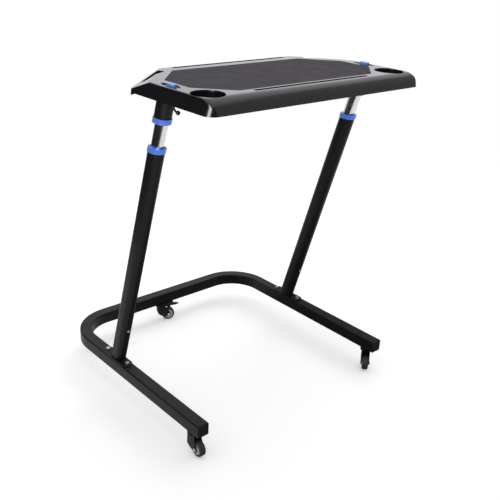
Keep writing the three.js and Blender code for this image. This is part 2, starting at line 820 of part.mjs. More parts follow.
function deskShell() {
  const outside = deskBody(0, 0, deskRim + tipDroop);
  const hollow = deskBody(deskSideWall, deskTopWall, deskRim + tipDroop + overrun);
  const inserts = [];
  const openings = [];
  for (const { sign } of sides) {
    inserts.push(post(cupRadius + cupWall, -deskRim, overrun, cupSides).translate(sign * cupX, cupY, 0));
    openings.push(post(cupRadius, -cupDepth, overrun, cupSides).translate(sign * cupX, cupY, 0));
    inserts.push(handOval(handLength + 2 * handWall, handWidth + 2 * handWall, -deskRim, overrun, sign));
    openings.push(handOval(handLength, handWidth, -deskRim - overrun, overrun, sign));
    for (const end of [-1, 1]) {
      const y = socketY + end * socketScrewPitch / 2;
      inserts.push(post(bossRadius, panelTop + restGap, 0).translate(sign * legX, y, 0));
      openings.push(post(socketScrewRadius + screwHoleGap, -deskRim, socketScrewTop + 2 * restGap)
        .translate(sign * legX, y, 0));
    }
    openings.push(prism(lens(recessLong, recessShort), -recessDepth, overrun)
      .translate(sign * buttonX, buttonY + recessShift, 0));
    openings.push(leaning(prism(grown(buttonLong, buttonShort, buttonGap), -deskRim, overrun))
      .translate(sign * buttonX, buttonY, 0));
  }
  for (const y of slotYs) {
    inserts.push(block(slotLength + 2 * slotWall, slotWidth + 2 * slotWall, -slotDepth - slotWall, overrun)
      .translate(0, y, 0));
    openings.push(block(slotLength, slotWidth, -slotDepth, overrun).translate(0, y, 0));
  }
  const matRecess = prism(rounded(matOutline, -matGap, edgeSteps), -matDepth, overrun);
  const filled = common(join(...inserts), outside);
  return cut(join(cut(outside, hollow), filled), ...openings, matRecess);
}

function deskPanel() {
  const inside = deskBody(deskSideWall + slideGap, deskTopWall + slideGap, deskRim + tipDroop + overrun);
  const slab = block(2 * overallWidth, 2 * overallDepth, panelBottom, panelTop);
  const openings = [];
  for (const { sign } of sides) {
    openings.push(
      post(cupRadius + cupWall + slideGap, -deskRim - overrun, 0, cupSides).translate(sign * cupX, cupY, 0));
    const growth = 2 * (handWall + slideGap);
    openings.push(handOval(handLength + growth, handWidth + growth, -deskRim - overrun, 0, sign));
    openings.push(
      leaning(post(rodHoleRadius, -deskRim - overrun, 0)).translate(sign * (legX - rodOffset), buttonY, 0));
    for (const end of [-1, 1]) {
      openings.push(post(socketScrewRadius + screwHoleGap, -deskRim - overrun, 0)
        .translate(sign * legX, socketY + end * socketScrewPitch / 2, 0));
    }
  }
  return cut(common(inside, slab), ...openings);
}

place('desktop', deskShell(), blackShell, desk);
place('desk_underpan', deskPanel(), blackPlastic, desk);
const matSheet = prism(rounded(matOutline, 0, edgeSteps), -matDepth, -matDepth + matThickness);
place('desk_mat', matSheet, matGrey, desk);

const skirtTop = -deskTopWall - restGap;
const skirtBottom = skirtTop - buttonSkirt;
const springLow = panelTop;

for (const { name, sign } of sides) {
  const shaft = softOval(buttonLong, buttonShort, skirtBottom, buttonRise, buttonCrown);
  const flange = prism(grown(buttonLong, buttonShort, buttonFlangeReach), skirtBottom, skirtTop);
  const button = join(leaning(shaft), leaning(flange));
  place(`release_button_${name}`, button, buttonBlue, desk).position.set(sign * buttonX, buttonY, 0);

  const springRoom = skirtBottom - springLow - 2 * springWire - 2 * restGap;
  const spring = coil(springRadius, springWire, springRoom, springCoils)
    .translate(0, 0, springLow + springWire + restGap);
  place(`button_spring_${name}`, leaning(spring), zincSteel, desk)
    .position.set(sign * (legX - rodOffset), buttonY, 0);

  for (const end of [-1, 1]) {
    const seat = -deskRim - restGap;
    const screw = join(
      post(socketScrewHeadRadius, seat - socketScrewHeadHeight, seat),
      post(socketScrewRadius, seat - socketScrewHeadHeight / 2, socketScrewTop));
    place(`socket_screw_${name}_${end < 0 ? 'front' : 'back'}`, screw, zincSteel, desk)
      .position.set(sign * legX, socketY + end * socketScrewPitch / 2, 0);
  }

  const hookCurve = new THREE.QuadraticBezierCurve3(
    new THREE.Vector3(0, 0, -restGap),
    new THREE.Vector3(0, 0, -hookDrop),
    new THREE.Vector3(0, -hookReach, -hookDrop));
  const ball = new THREE.SphereGeometry(hookBall, roundSides, arcSteps).translate(0, -hookReach, -hookDrop);
  const hook = join(wire(hookCurve, hookWire, hookSteps, hookSides), ball);
  place(`towel_hook_${name}`, hook, blackPlastic, desk)
    .position.set(sign * legX, socketY - hookSetback, -deskRim);
}

// Casters, each in a group at its pivot with zero on the floor and the wheel trailing along +X

// The side of the fork: upright at the front, drawn in to the axle, moved inwards by inset
function forkSide(inset) {
  const lead = -forkTopRadius + inset;
  const low = forkTop - forkLeadingDrop;
  const lowerEdge = new THREE.QuadraticBezierCurve(
    new THREE.Vector2(lead, low),
    new THREE.Vector2(lead, wheelRadius - forkAxleRadius),
    new THREE.Vector2(casterTrail, wheelRadius - forkAxleRadius + inset)).getPoints(arcSteps);
  const nose = arc(casterTrail, wheelRadius, forkAxleRadius - inset, -Math.PI / 2, Math.PI / 4, arcSteps / 2);
  return [
    new THREE.Vector2(lead, forkTop - inset),
    ...lowerEdge.slice(0, -1),
    ...nose,
    new THREE.Vector2(forkTopRadius - inset, wheelRadius + forkAxleAbove + forkAxleRadius),
    new THREE.Vector2(forkTopRadius - inset, forkTop - inset),
  ];
}

// Outlines drawn along the trail and up, extruded across the wheel
function across(points, width) {
  const basis = new THREE.Matrix4().makeBasis(
    new THREE.Vector3(1, 0, 0), new THREE.Vector3(0, 0, 1), new THREE.Vector3(0, -1, 0));
  return prism(points, -width / 2, width / 2).applyMatrix4(basis);
}

// A bar that is round at the leading side of the pivot and straight behind it
const roundLead = (radius) => join(
  post(radius, 0, forkTop, wheelSides),
  block(2 * forkTopRadius + casterTrail, 2 * radius, 0, forkTop)
    .translate(forkTopRadius + casterTrail / 2, 0, 0));

function casterFork(holes) {
  const outside = common(across(forkSide(0), forkInside + 2 * forkWall), roundLead(forkTopRadius));
  const top = post(forkTopRadius, forkTop - forkHousing, forkTop, wheelSides);
  const room = wheelRadius + forkWall;
  const openBack = rectangle(casterTrail, forkTop - wheelRadius)
    .map(({ x, y }) => new THREE.Vector2(x + casterTrail, y + (forkTop + wheelRadius) / 2));
  const inside = cut(
    join(
      common(across(forkSide(forkWall), forkInside), roundLead(forkTopRadius - forkWall)),
      across(openBack, forkInside),
      across(circle(casterTrail, wheelRadius, room, wheelSides), forkInside)),
    block(2 * overallWidth, 2 * overallWidth, forkTop - forkRoof, forkTop + overrun));
  const kingpinHole = post(kingpinRadius + axleGap, 0, forkTop + overrun);
  const axleHole = across(circle(casterTrail, wheelRadius, axleRadius + axleGap), tubeSize);
  return cut(join(outside, top), inside, kingpinHole, axleHole, ...holes);
}

function casterMount(withPlate) {
  const race = post(raceRadius, casterHeight - raceThickness, casterHeight, wheelSides);
  const stem = post(stemRadius, casterHeight - raceThickness / 2, casterHeight + stemLength);
  const headTop = forkTop - forkRoof - restGap;
  const kingpin = post(kingpinRadius, headTop - kingpinHeadHeight / 2, casterHeight - raceThickness / 2);
  const head = post(kingpinHeadRadius, headTop - kingpinHeadHeight, headTop);
  const body = join(race, stem, kingpin, head);
  if (!withPlate) return body;
  const plate = rounded(rectangle(rearPlateLength, rearPlateWidth, tubeCorner), 0, tubeCornerSteps);
  return join(body, prism(plate, casterHeight - raceThickness, casterHeight)
    .translate(0, (tubeSize - rearPlateWidth) / 2, 0));
}

function casterTyre() {
  const half = wheelWidth / 2;
  const inner = hubRadius + restGap;
  const profile = [
    new THREE.Vector2(inner, -half),
    ...arc(wheelRadius - tyreRound, -half + tyreRound, tyreRound, -Math.PI / 2, 0, tyreRoundSteps),
    ...arc(wheelRadius - tyreRound, half - tyreRound, tyreRound, 0, Math.PI / 2, tyreRoundSteps),
    new THREE.Vector2(inner, half),
  ];
  return turned(profile, wheelSides).rotateX(Math.PI / 2);
}

function casterHub() {
  const half = wheelWidth / 2;
  const profile = [
    [axleRadius + axleGap, -half], [hubBoss, -half], [hubBoss + hubDish / 2, -half + hubDish],
    [hubRadius - hubRim - hubDish / 2, -half + hubDish], [hubRadius - hubRim, -half], [hubRadius, -half],
    [hubRadius, half], [hubRadius - hubRim, half], [hubRadius - hubRim - hubDish / 2, half - hubDish],
    [hubBoss + hubDish / 2, half - hubDish], [hubBoss, half], [axleRadius + axleGap, half],
  ];
  return turned(profile.map(([r, z]) => new THREE.Vector2(r, z)), wheelSides).rotateX(Math.PI / 2);
}

function casterAxle() {
  const seat = forkInside / 2 + forkWall + restGap;
  const heads = [-1, 1].map((end) => (
    post(axleHeadRadius, seat, seat + axleHeadHeight, boltSides).rotateX(end * Math.PI / 2)
  ));
  return join(post(axleRadius, -seat - restGap, seat + restGap).rotateX(Math.PI / 2), ...heads);
}

const pedalPinHole = across(
  circle(pedalHingeReach, pedalHingeHeight, pedalPinRadius + axleGap), tubeSize);

function brakePedal() {
  const knuckle = across(circle(pedalHingeReach, pedalHingeHeight, pedalKnuckle), pedalWidth);
  const start = pedalHingeReach;
  const end = pedalHingeReach + pedalLength;
  const top = pedalHingeHeight + pedalKnuckle;
  const arm = across([
    new THREE.Vector2(start, top - pedalThickness), new THREE.Vector2(end, top - pedalThickness + pedalRise),
    new THREE.Vector2(end, top + pedalRise), new THREE.Vector2(start, top),
  ], pedalWidth);
  const plan = prism([
    new THREE.Vector2(start, -pedalWidth / 2), new THREE.Vector2(start + pedalLength / 2, -pedalWidth / 2),
    new THREE.Vector2(end, -pedalTipWidth / 2), new THREE.Vector2(end, pedalTipWidth / 2),
    new THREE.Vector2(start + pedalLength / 2, pedalWidth / 2), new THREE.Vector2(start, pedalWidth / 2),
  ], 0, casterHeight);
  const padWidth = pedalWidth - pedalThickness;
  const pad = block(pedalPadLength, padWidth, 2 * wheelRadius + pedalPadGap, top - pedalThickness / 2)
    .translate(pedalPadStart + pedalPadLength / 2, 0, 0);
  const hole = post(pedalHole, 0, casterHeight).translate(end - pedalHoleFromTip, 0, 0);
  return cut(join(knuckle, common(arm, plan), pad), pedalPinHole, hole);
}

function brakePin() {
  const seat = forkInside / 2 + forkWall + restGap;
  const heads = [-1, 1].map((end) => (
    post(pedalPinHead, seat, seat + pedalPinRadius / 2).rotateX(end * Math.PI / 2)
  ));
  return join(post(pedalPinRadius, -seat - restGap, seat + restGap).rotateX(Math.PI / 2), ...heads);
}

for (const { name, x, y, trail } of casterPivots) {
  const caster = new THREE.Group();
  caster.position.set(x, y, 0);
  part.add(caster);
  const braked = name === 'rear';
  place(`caster_mount_${name}`, casterMount(braked), blackPaint, caster);
  const swivel = new THREE.Group();
  swivel.rotation.z = THREE.MathUtils.degToRad(trail);
  caster.add(swivel);
  place(`caster_fork_${name}`, casterFork(braked ? [pedalPinHole] : []), blackPlastic, swivel);
  const wheel = new THREE.Group();
  wheel.position.set(casterTrail, 0, wheelRadius);
  swivel.add(wheel);
  place(`caster_hub_${name}`, casterHub(), hubGrey, wheel);
  place(`caster_tyre_${name}`, casterTyre(), tyreBlack, wheel);
  place(`caster_axle_${name}`, casterAxle(), zincSteel, wheel);
  if (braked) {
    place('brake_pedal', brakePedal(), blackPlastic, swivel);
    place('brake_pin', brakePin(), zincSteel, swivel).position.set(pedalHingeReach, 0, pedalHingeHeight);
  }
}

export default part;
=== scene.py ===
import math

import bmesh
import bpy
from mathutils import Matrix, Vector


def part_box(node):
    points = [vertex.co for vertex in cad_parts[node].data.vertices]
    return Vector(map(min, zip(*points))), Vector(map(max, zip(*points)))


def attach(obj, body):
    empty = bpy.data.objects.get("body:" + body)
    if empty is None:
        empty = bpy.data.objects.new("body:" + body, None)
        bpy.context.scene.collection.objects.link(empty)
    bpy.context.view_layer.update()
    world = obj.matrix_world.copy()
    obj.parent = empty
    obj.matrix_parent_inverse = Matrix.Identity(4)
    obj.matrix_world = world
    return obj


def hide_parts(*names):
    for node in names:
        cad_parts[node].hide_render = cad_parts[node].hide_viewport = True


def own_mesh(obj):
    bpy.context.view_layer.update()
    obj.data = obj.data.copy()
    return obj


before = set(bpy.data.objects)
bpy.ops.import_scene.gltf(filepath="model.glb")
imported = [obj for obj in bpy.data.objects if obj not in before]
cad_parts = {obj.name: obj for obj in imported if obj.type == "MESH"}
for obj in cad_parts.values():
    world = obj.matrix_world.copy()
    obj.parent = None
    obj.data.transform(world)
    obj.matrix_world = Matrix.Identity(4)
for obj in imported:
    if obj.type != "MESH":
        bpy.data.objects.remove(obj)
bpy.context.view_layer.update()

# A height-adjustable desk for a rider on a bicycle trainer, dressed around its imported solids.
# Metres, +Z up, X across, -Y towards the rider. A tuple holds sizes in the order its maker unpacks.

# Camera: the photograph's place, direction and angle of view
IMAGE_WIDTH = 500
FOCAL_PIXELS = 733.1
SENSOR_WIDTH = 36
CAMERA_PLACE = Vector((-1.4475, -1.6830, 1.3924))
CAMERA_RIGHT = Vector((0.7481, -0.6617, 0.0480))
CAMERA_UP = Vector((0.2318, 0.3284, 0.9157))

# Overall sizes, from the solids
DESK_LOW, DESK_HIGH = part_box("desktop")
FRAME_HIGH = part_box("base_frame")[1]
PLATE_LOW, PLATE_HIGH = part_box("foot_plate_right")
FRONT_Y = DESK_LOW.y
BACK_Y = FRAME_HIGH.y
DESK_BACK_Y = DESK_HIGH.y
WIDTH = DESK_HIGH.x - DESK_LOW.x
DESK_TOP = DESK_HIGH.z
FRAME_TOP = FRAME_HIGH.z
FOOT_Y = (PLATE_LOW.y + PLATE_HIGH.y) / 2

# Fits and steps of the round shapes
GAP = 0.0003
SLIDE_GAP = 0.0004
WELD = GAP / 1000
OVERRUN = 0.020
RIM_STEPS = 4
OVAL_STEPS = 20
ROUND_SIDES = 32
WHEEL_SIDES = 64
SMOOTH_ANGLE = math.radians(32)
SIDES = (("left", -1), ("right", 1))

# Base
TUBE = 0.040
TUBE_WALL = 0.0018
TUBE_CORNER = 0.004
BEND_RADIUS = 0.150
BEND_STEPS = 28
CAP_FLANGE = 0.003
CAP_ROUND = 0.0015
CAP_PLUG = 0.022
ARM_X = WIDTH / 2 - TUBE / 2
ARM_FRONT_Y = FRONT_Y + 0.017
PLATE = (0.140, 0.038, 0.004)
PLATE_ROUND = 0.0008
BOLT_PITCH = 0.112
BOLT_RADIUS = 0.004
BOLT_LENGTH = 0.024
BOLT_HEAD = (0.0069, 0.005)

# Desktop, measured down from its top face
DESK_RIM = 0.038
TOP_WALL = 0.005
SIDE_WALL = 0.004
SIDE_DRAFT = 0.010
LIP_REACH = 0.047
LIP_STEPS = 22
EDGE_ROUND = 0.005
CORNER_STEPS = 16
FRONT_CORNER = 0.030
CORNER_SOFT = 0.011
BACK_CORNER = 0.022
TIP_ROUND = 0.028
BACK_EDGE = WIDTH - 2 * 0.150
TIP_SETBACK = 0.075
FACET_LENGTH = 0.158
FACET_DROP = 0.030
FACET_TIP_INSET = 0.005
TIP_DROOP = 0.008
TIP_DROOP_FLAT = 0.014
TIP_DROOP_RAMP = 0.025
TIP_DROOP_SHIFT = 0.003
RIM_ROUND = 0.0012
CUP = (0.087 / 2, 0.035, 0.003)
CUP_RIM = 0.0022
CUP_FLOOR_ROUND = 0.006
CUP_X = WIDTH / 2 - 0.056
CUP_Y = FRONT_Y + 0.079
SLOT = (WIDTH - 2 * 0.185, 0.0125, 0.014)
SLOT_WALL = 0.003
SLOT_CORNER = 0.002
SLOT_YS = (FRONT_Y + 0.055, DESK_BACK_Y - 0.013)
HAND = (0.100, 0.024, 0.004)
HAND_INSET = 0.025
PANEL_THICKNESS = 0.003
PANEL_RECESS = 0.004
PANEL_BOTTOM = -DESK_RIM + PANEL_RECESS
PANEL_TOP = PANEL_BOTTOM + PANEL_THICKNESS

# Mat
MAT_DEPTH = 0.002
MAT_THICKNESS = 0.0017
MAT_GAP = 0.0008
MAT_ROUND = 0.007
MAT_EDGE = 0.0006
MAT_SIDE = WIDTH - 2 * 0.060
MAT_BACK = MAT_SIDE - 2 * 0.098
MAT_FRONT = MAT_SIDE - 2 * 0.088
MAT_BACK_Y = DESK_BACK_Y - 0.050
MAT_FRONT_Y = FRONT_Y + 0.071
MAT_BACK_CORNER = 0.101
MAT_FRONT_CORNER = 0.084

# Legs, measured up along a leg from the top face of the frame
LEAN = math.radians(16.33)
LEG_X = ARM_X - 0.004
SOCKET_Y = FRONT_Y + 0.207
DESK_IN_LEG = DESK_TOP - DESK_RIM - FRAME_TOP
LEG_TOP = DESK_IN_LEG / math.cos(LEAN)
OUTER_TUBE = (0.052, 0.038)
OUTER_WALL = 0.0018
INNER_TUBE = (0.040, 0.026)
INNER_WALL = 0.0015
ENGAGEMENT = 0.3435
COLLAR = (0.056, 0.042)
COLLAR_HEIGHT = 0.0155
COLLAR_LIP = 0.006
COLLAR_ROUND = 0.0012
COLLAR_LEVEL_SHARE = 0.82
COLLAR_SLOPE = -COLLAR_LEVEL_SHARE * math.tan(LEAN)
BUSH_DEPTH = 0.040
UPPER_COLLAR = LEG_TOP - 0.0635
LOWER_COLLAR = UPPER_COLLAR - 0.0705
OUTER_LENGTH = LOWER_COLLAR - COLLAR_LIP - GAP
LEG_SCREW_AT = 0.135
LEG_SCREW = (0.0024, 0.0045, 0.003, 0.010)
SOCKET_SCREW = (0.0023, 0.0045, 0.0025, 0.018)
SOCKET_SCREW_PITCH = 0.080
SCREW_HOLE = SOCKET_SCREW[0] + 0.0004
BOSS_RADIUS = 0.006
FLANGE = (0.092, 0.0366, PANEL_RECESS - GAP)
TUBE_END_ROUND = 0.0006

# Height release
ROD_OFFSET = 0.005
ROD_HOLE = 0.004
ROD_X = LEG_X - ROD_OFFSET
BUTTON = (0.034, 0.017)
BUTTON_X = LEG_X - 0.009
BUTTON_Y = FOOT_Y - math.tan(LEAN) * (DESK_TOP - FRAME_TOP)
BUTTON_RISE = 0.0065
BUTTON_SKIRT = 0.003
BUTTON_REACH = 0.0035
BUTTON_GAP = 0.0006
BUTTON_CROWN = 0.0026
BUTTON_DISH = 0.0008
BUTTON_DISH_STEPS = (0.3, 0.6, 0.9)
RECESS = (0.083, 0.030, 0.003)
RECESS_SHIFT = 0.0025
SPRING = (0.0065, 0.0007, 4.0)
BUTTON_TRAVEL = 0.005
SHOE_SPRING = (0.0025, 0.0005, 3.0)

# Hooks under the desk
HOOK_SETBACK = 0.032
HOOK_REACH = 0.020
HOOK_DROP = 0.021
HOOK_WIRE = 0.0027
HOOK_BALL = 0.0058
HOOK_STEPS = 16

# Casters, measured up from the floor
CASTER_HEIGHT = 0.075
CASTER_Y = ARM_FRONT_Y + 0.042
REAR_CASTER_Y = BACK_Y - TUBE / 2
WHEEL_RADIUS = 0.024
WHEEL_WIDTH = 0.020
HUB_RADIUS = 0.0165
HUB_DISH = 0.0025
HUB_RIM = 0.0025
HUB_BOSS = 0.006
TYRE_ROUND = 0.004
AXLE_RADIUS = 0.003
AXLE_HEAD = (0.0055, 0.0024)
TRAIL = 0.024
FORK_WALL = 0.0026
FORK_INSIDE = 0.0226
AXLE_SEAT = FORK_INSIDE / 2 + FORK_WALL + GAP
FORK_TOP = 0.0713
FORK_ROOF = 0.0032
FORK_RADIUS = 0.020
FORK_HOUSING = 0.0074
FORK_LEAD_DROP = 0.025
FORK_NOSE = 0.008
FORK_NOSE_RISE = 0.017
FORK_EDGE = 0.0007
RACE = (0.020, 0.003)
RACE_GROOVE = 0.003
STEM = (0.005, 0.022)
KINGPIN = (0.004, 0.007, 0.003)
REAR_PLATE = (0.076, 0.044)
# Each caster: its name, its place, and the way it trails, in degrees from +X
CASTERS = (
    ("front_left", -ARM_X, CASTER_Y, 268),
    ("front_right", ARM_X, CASTER_Y, 222),
    ("rear", 0, REAR_CASTER_Y, 338),
)
PEDAL_HINGE = (0.015, 0.057)
PEDAL = (0.051, 0.021, 0.0026)
PEDAL_TIP = 0.012
PEDAL_RISE = 0.002
PEDAL_KNUCKLE = 0.004
PEDAL_HOLE = (0.003, 0.008)
PEDAL_PIN = (0.002, 0.0032)
PEDAL_PAD = (0.022, 0.010, 0.002)
PEDAL_EDGE = 0.0005

# Fasteners' details, as shares of their radius or height, and the step of a domed head in degrees
HEX_CHAMFER = 0.134
BOLT_TIP = (0.8, 0.3)
PAN_EDGE = 0.35
PAN_STEP = 15
PAN_CROWN = 0.08
PAN_CROSS = (1.2, 0.26)
PAN_SHANK_TIP = 0.6

# Finishes: the reach and the edge of wear, and a wave texture's pitch at a scale of one
WEAR_REACH = 0.0012
WEAR_EDGE = (0.05, 0.08)
WAVE_PITCH = 0.314

# Studio
FLOOR_RADIUS = 14
FLOOR_THICKNESS = 0.02
FLOOR_FADE = (1.6, 3.2)
FLOOR_LIFT = 0.3
FLOOR_GREY = (0.9, 0.9, 0.9, 1)
WORLD_FILL = 0.7
WORLD_SEEN = 1.0
WHITE = (1, 1, 1, 1)
SCREEN_WHITE = (0.96, 0.96, 1, 1)
SCREEN_THICKNESS = 0.01
LAMPS_AIM = (0.0, 0.0, 0.6)


# Outlines, as lists of flat points

def arc(centre, radius, start, end, steps):
    turns = [start + (end - start) * i / steps for i in range(steps + 1)]
    return [Vector((centre[0] + radius * math.cos(t), centre[1] + radius * math.sin(t))) for t in turns]


def circle(centre, radius, sides=ROUND_SIDES):
    return arc(centre, radius, 0, math.tau, sides)[:-1]


def oval(size, growth=0.0):
    """A flat oval with its long side along Y, grown all round"""
    long, short = size[0] + 2 * growth, size[1] + 2 * growth
    half = (long - short) / 2
    back = arc((0, half), short / 2, 0, math.pi, OVAL_STEPS)
    return back + arc((0, -half), short / 2, math.pi, math.tau, OVAL_STEPS)


def solid_oval(size):
    """An oval as a function of how far it is drawn in"""
    return lambda inset: oval(size, -inset)


def open_oval(size, fit=0.0):
    """The oval of an opening as a function of how far it is widened"""
    return lambda growth: oval(size, fit + growth)


def lens(size, growth=0.0):
    """Two arcs that meet in points, the long side along Y"""
    long, short = size[0] + 2 * growth, size[1] + 2 * growth
    radius = (long * long + short * short) / (4 * short)
    half = math.asin(long / 2 / radius)
    offset = radius - short / 2
    right = arc((-offset, 0), radius, -half, half, OVAL_STEPS)
    left = arc((offset, 0), radius, math.pi - half, math.pi + half, OVAL_STEPS)
    return right + left[1:-1]


def rounded(corners, inset=0.0, steps=CORNER_STEPS):
    """A convex outline of (x, y, round), moved inwards and rounded at each corner"""
    edges = []
    for corner, after in zip(corners, corners[1:] + corners[:1]):
        along = (Vector(after[:2]) - Vector(corner[:2])).normalized()
        inwards = Vector((-along.y, along.x))
        edges.append((Vector(corner[:2]) + inwards * inset, along, inwards))
    points = []
    for i, corner in enumerate(corners):
        start, along, inwards = edges[i - 1]
        next_start, next_along, _ = edges[i]
        turn = along.cross(next_along)
        meet = start + along * ((next_start - start).cross(next_along) / turn)
        radius = max(corner[2] - inset, GAP)
        angle = math.atan2(turn, along.dot(next_along))
        centre = meet - along * (radius * math.tan(angle / 2)) + inwards * radius
        first = math.atan2(-inwards.y, -inwards.x)
        points += arc(centre, radius, first, first + angle, steps)
    return points


def sharp_box(width, depth, middle=(0, 0)):
    x, y = middle
    return [Vector((x + i * width / 2, y + j * depth / 2)) for i, j in ((-1, -1), (1, -1), (1, 1), (-1, 1))]


def soft_box(width, depth, corner, inset=0.0, middle=(0, 0), steps=RIM_STEPS):
    return rounded([(p.x, p.y, corner) for p in sharp_box(width, depth, middle)], inset, steps)


# Bodies: every maker returns an object whose mesh is one closed shell

def level(points, height, slope=0.0):
    """The points at a height, which may rise along Y"""
    return [Vector((x, y, height + slope * y)) for x, y in points]


def quarter(radius):
    """A quarter round from the side to the face, as pairs of inset and distance from the face"""
    turns = [math.pi / 2 * i / RIM_STEPS for i in range(RIM_STEPS + 1)]
    return [(radius * (1 - math.cos(t)), radius * (1 - math.sin(t))) for t in turns]


def rim(outline, face, radius, slope=0.0):
    """Rings from the side to the upper face, or to the lower face where the radius is below nought"""
    return [level(outline(abs(inset)), face - down, slope) for inset, down in quarter(radius)]


def linked(name, data):
    made = bpy.data.objects.new(name, data)
    bpy.context.scene.collection.objects.link(made)
    return made


def loft(rings, closed=False):
    """A body through rings of points, capped at its ends, or joined end to end"""
    maker = bmesh.new()
    rows = [[maker.verts.new(p) for p in ring] for ring in rings]
    following = rows[1:] + rows[:1] if closed else rows[1:]
    for low, high in zip(rows, following):
        for i, corner in enumerate(low):
            j = (i + 1) % len(low)
            maker.faces.new((corner, low[j], high[j], high[i]))
    if not closed:
        maker.faces.new(reversed(rows[0]))
        maker.faces.new(rows[-1])
    bmesh.ops.recalc_face_normals(maker, faces=maker.faces)
    mesh = bpy.data.meshes.new("part")
    maker.to_mesh(mesh)
    maker.free()
    return linked("part", mesh)


def prism(points, low, high):
    return loft([level(points, low), level(points, high)])


def without_repeats(rings):
    """Leaves out a ring that lies on the one before"""
    kept = rings[:1]
    for ring in rings[1:]:
        if max((a - b).length for a, b in zip(ring, kept[-1])) > GAP / 100:
            kept.append(ring)
    return kept


def bar(outline, low, high, low_round=0.0, high_round=0.0):
    """A prism with softened rims, from a function that gives the outline at an inset"""
    return loft(without_repeats(rim(outline, low, -low_round)[::-1] + rim(outline, high, high_round)))


def sleeve(size, bore, low, high, slopes):
    """An oval tube with softened ends, each of which may slope"""
    outer, inner = solid_oval(size), open_oval(bore)
    rings = rim(outer, low, -TUBE_END_ROUND, slopes[0])[::-1] + rim(outer, high, TUBE_END_ROUND, slopes[1])
    rings += rim(inner, high, TUBE_END_ROUND, slopes[1])[::-1] + rim(inner, low, -TUBE_END_ROUND, slopes[0])
    return loft(rings, closed=True)


def pocket(outline, floor, lip, floor_round=0.0):
    """What a pocket takes out, from its outline by growth: its lip flares by a quarter round"""
    rings = rim(lambda inset: outline(-inset), floor, -floor_round)[::-1]
    rings += [*rim(outline, 0, lip), level(outline(lip), OVERRUN)]
    return loft(without_repeats(rings))


def turned(profile):
    """A ring-shaped body round the Y axis from a closed profile of radius and height"""
    turns = [math.tau * i / WHEEL_SIDES for i in range(WHEEL_SIDES)]
    rings = [[Vector((r * math.cos(t), r * math.sin(t), z)) for r, z in profile] for t in turns]
    return on_side(loft(rings, closed=True))


def stack(levels, sides=ROUND_SIDES):
    """A solid of circles, from pairs of radius and height"""
    return loft([level(circle((0, 0), radius, sides), height) for radius, height in levels])


def across(points, width):
    """An outline in X and Z, extruded along Y"""
    return loft([[Vector((x, y, z)) for x, z in points] for y in (width / 2, -width / 2)])


def crosswise(points, width):
    """An outline in Y and Z, extruded along X"""
    return loft([[Vector((x, y, z)) for y, z in points] for x in (-width / 2, width / 2)])


def moved(body, matrix):
    body.data.transform(matrix)
    return body


def at(x=0.0, y=0.0, z=0.0):
    return Matrix.Translation((x, y, z))


def turn(angle, axis):
    return Matrix.Rotation(angle, 4, axis)


def on_side(body):
    """Turned from upright to lying along Y"""
    return moved(body, turn(math.pi / 2, "X"))


def made_plain(body):
    """Applies the modifiers, so that the object holds an ordinary mesh"""
    view = bpy.context.evaluated_depsgraph_get()
    mesh = bpy.data.meshes.new_from_object(body.evaluated_get(view))
    body.modifiers.clear()
    body.data = mesh
    return body


def boolean(body, operation, tools):
    for tool in tools:
        step = body.modifiers.new(operation, "BOOLEAN")
        step.operation = operation
        step.solver = "MANIFOLD"
        step.object = tool
    made_plain(body)
    for tool in tools:
        bpy.data.objects.remove(tool)
    return body


def cut(body, *tools):
    return boolean(body, "DIFFERENCE", tools)


def join(body, *others):
    return boolean(body, "UNION", others)


def common(body, *others):
    return boolean(body, "INTERSECT", others)


def edged(body, width):
    """Softens the sharp edges"""
    step = body.modifiers.new("Edges", "BEVEL")
    step.width = width
    step.segments = 2
    step.limit_method = "ANGLE"
    step.angle_limit = SMOOTH_ANGLE
    step.use_clamp_overlap = False
    return made_plain(body)


def dressed(body, name, rides, slot, *nodes):
    """Names a finished body, shades and paints it, sets it under its body's empty and hides the solids it
    stands for
    """
    body.name = name
    body.data.name = name
    maker = bmesh.new()
    maker.from_mesh(body.data)
    bmesh.ops.remove_doubles(maker, verts=maker.verts, dist=WELD)
    bmesh.ops.dissolve_degenerate(maker, edges=maker.edges, dist=WELD)
    maker.to_mesh(body.data)
    maker.free()
    body.data.materials.clear()
    body.data.materials.append(finishes[slot])
    body.data.shade_smooth()
    body.data.set_sharp_from_angle(angle=SMOOTH_ANGLE)
    weigh = body.modifiers.new("Even shading", "WEIGHTED_NORMAL")
    weigh.keep_sharp = True
    made_plain(body)
    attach(body, rides)
    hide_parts(*nodes)
    return body


# Node trees

class Number:
    """A number on a node's socket. Sums and products with it add Math nodes."""

    def __init__(self, tree, socket):
        self.tree = tree
        self.socket = socket

    def __add__(self, other):
        return self.tree.worked("ADD", self, other)

    def __sub__(self, other):
        return self.tree.worked("SUBTRACT", self, other)

    def __rsub__(self, other):
        return self.tree.worked("SUBTRACT", other, self)

    def __mul__(self, other):
        return self.tree.worked("MULTIPLY", self, other)

    __radd__ = __add__
    __rmul__ = __mul__

    def above(self, edge, width):
        """Nought below the edge and one above it, with a soft step between"""
        step = {"Value": self, "From Min": edge - width / 2, "From Max": edge + width / 2}
        return self.tree.number("ShaderNodeMapRange", "Result", step, interpolation_type="SMOOTHSTEP")


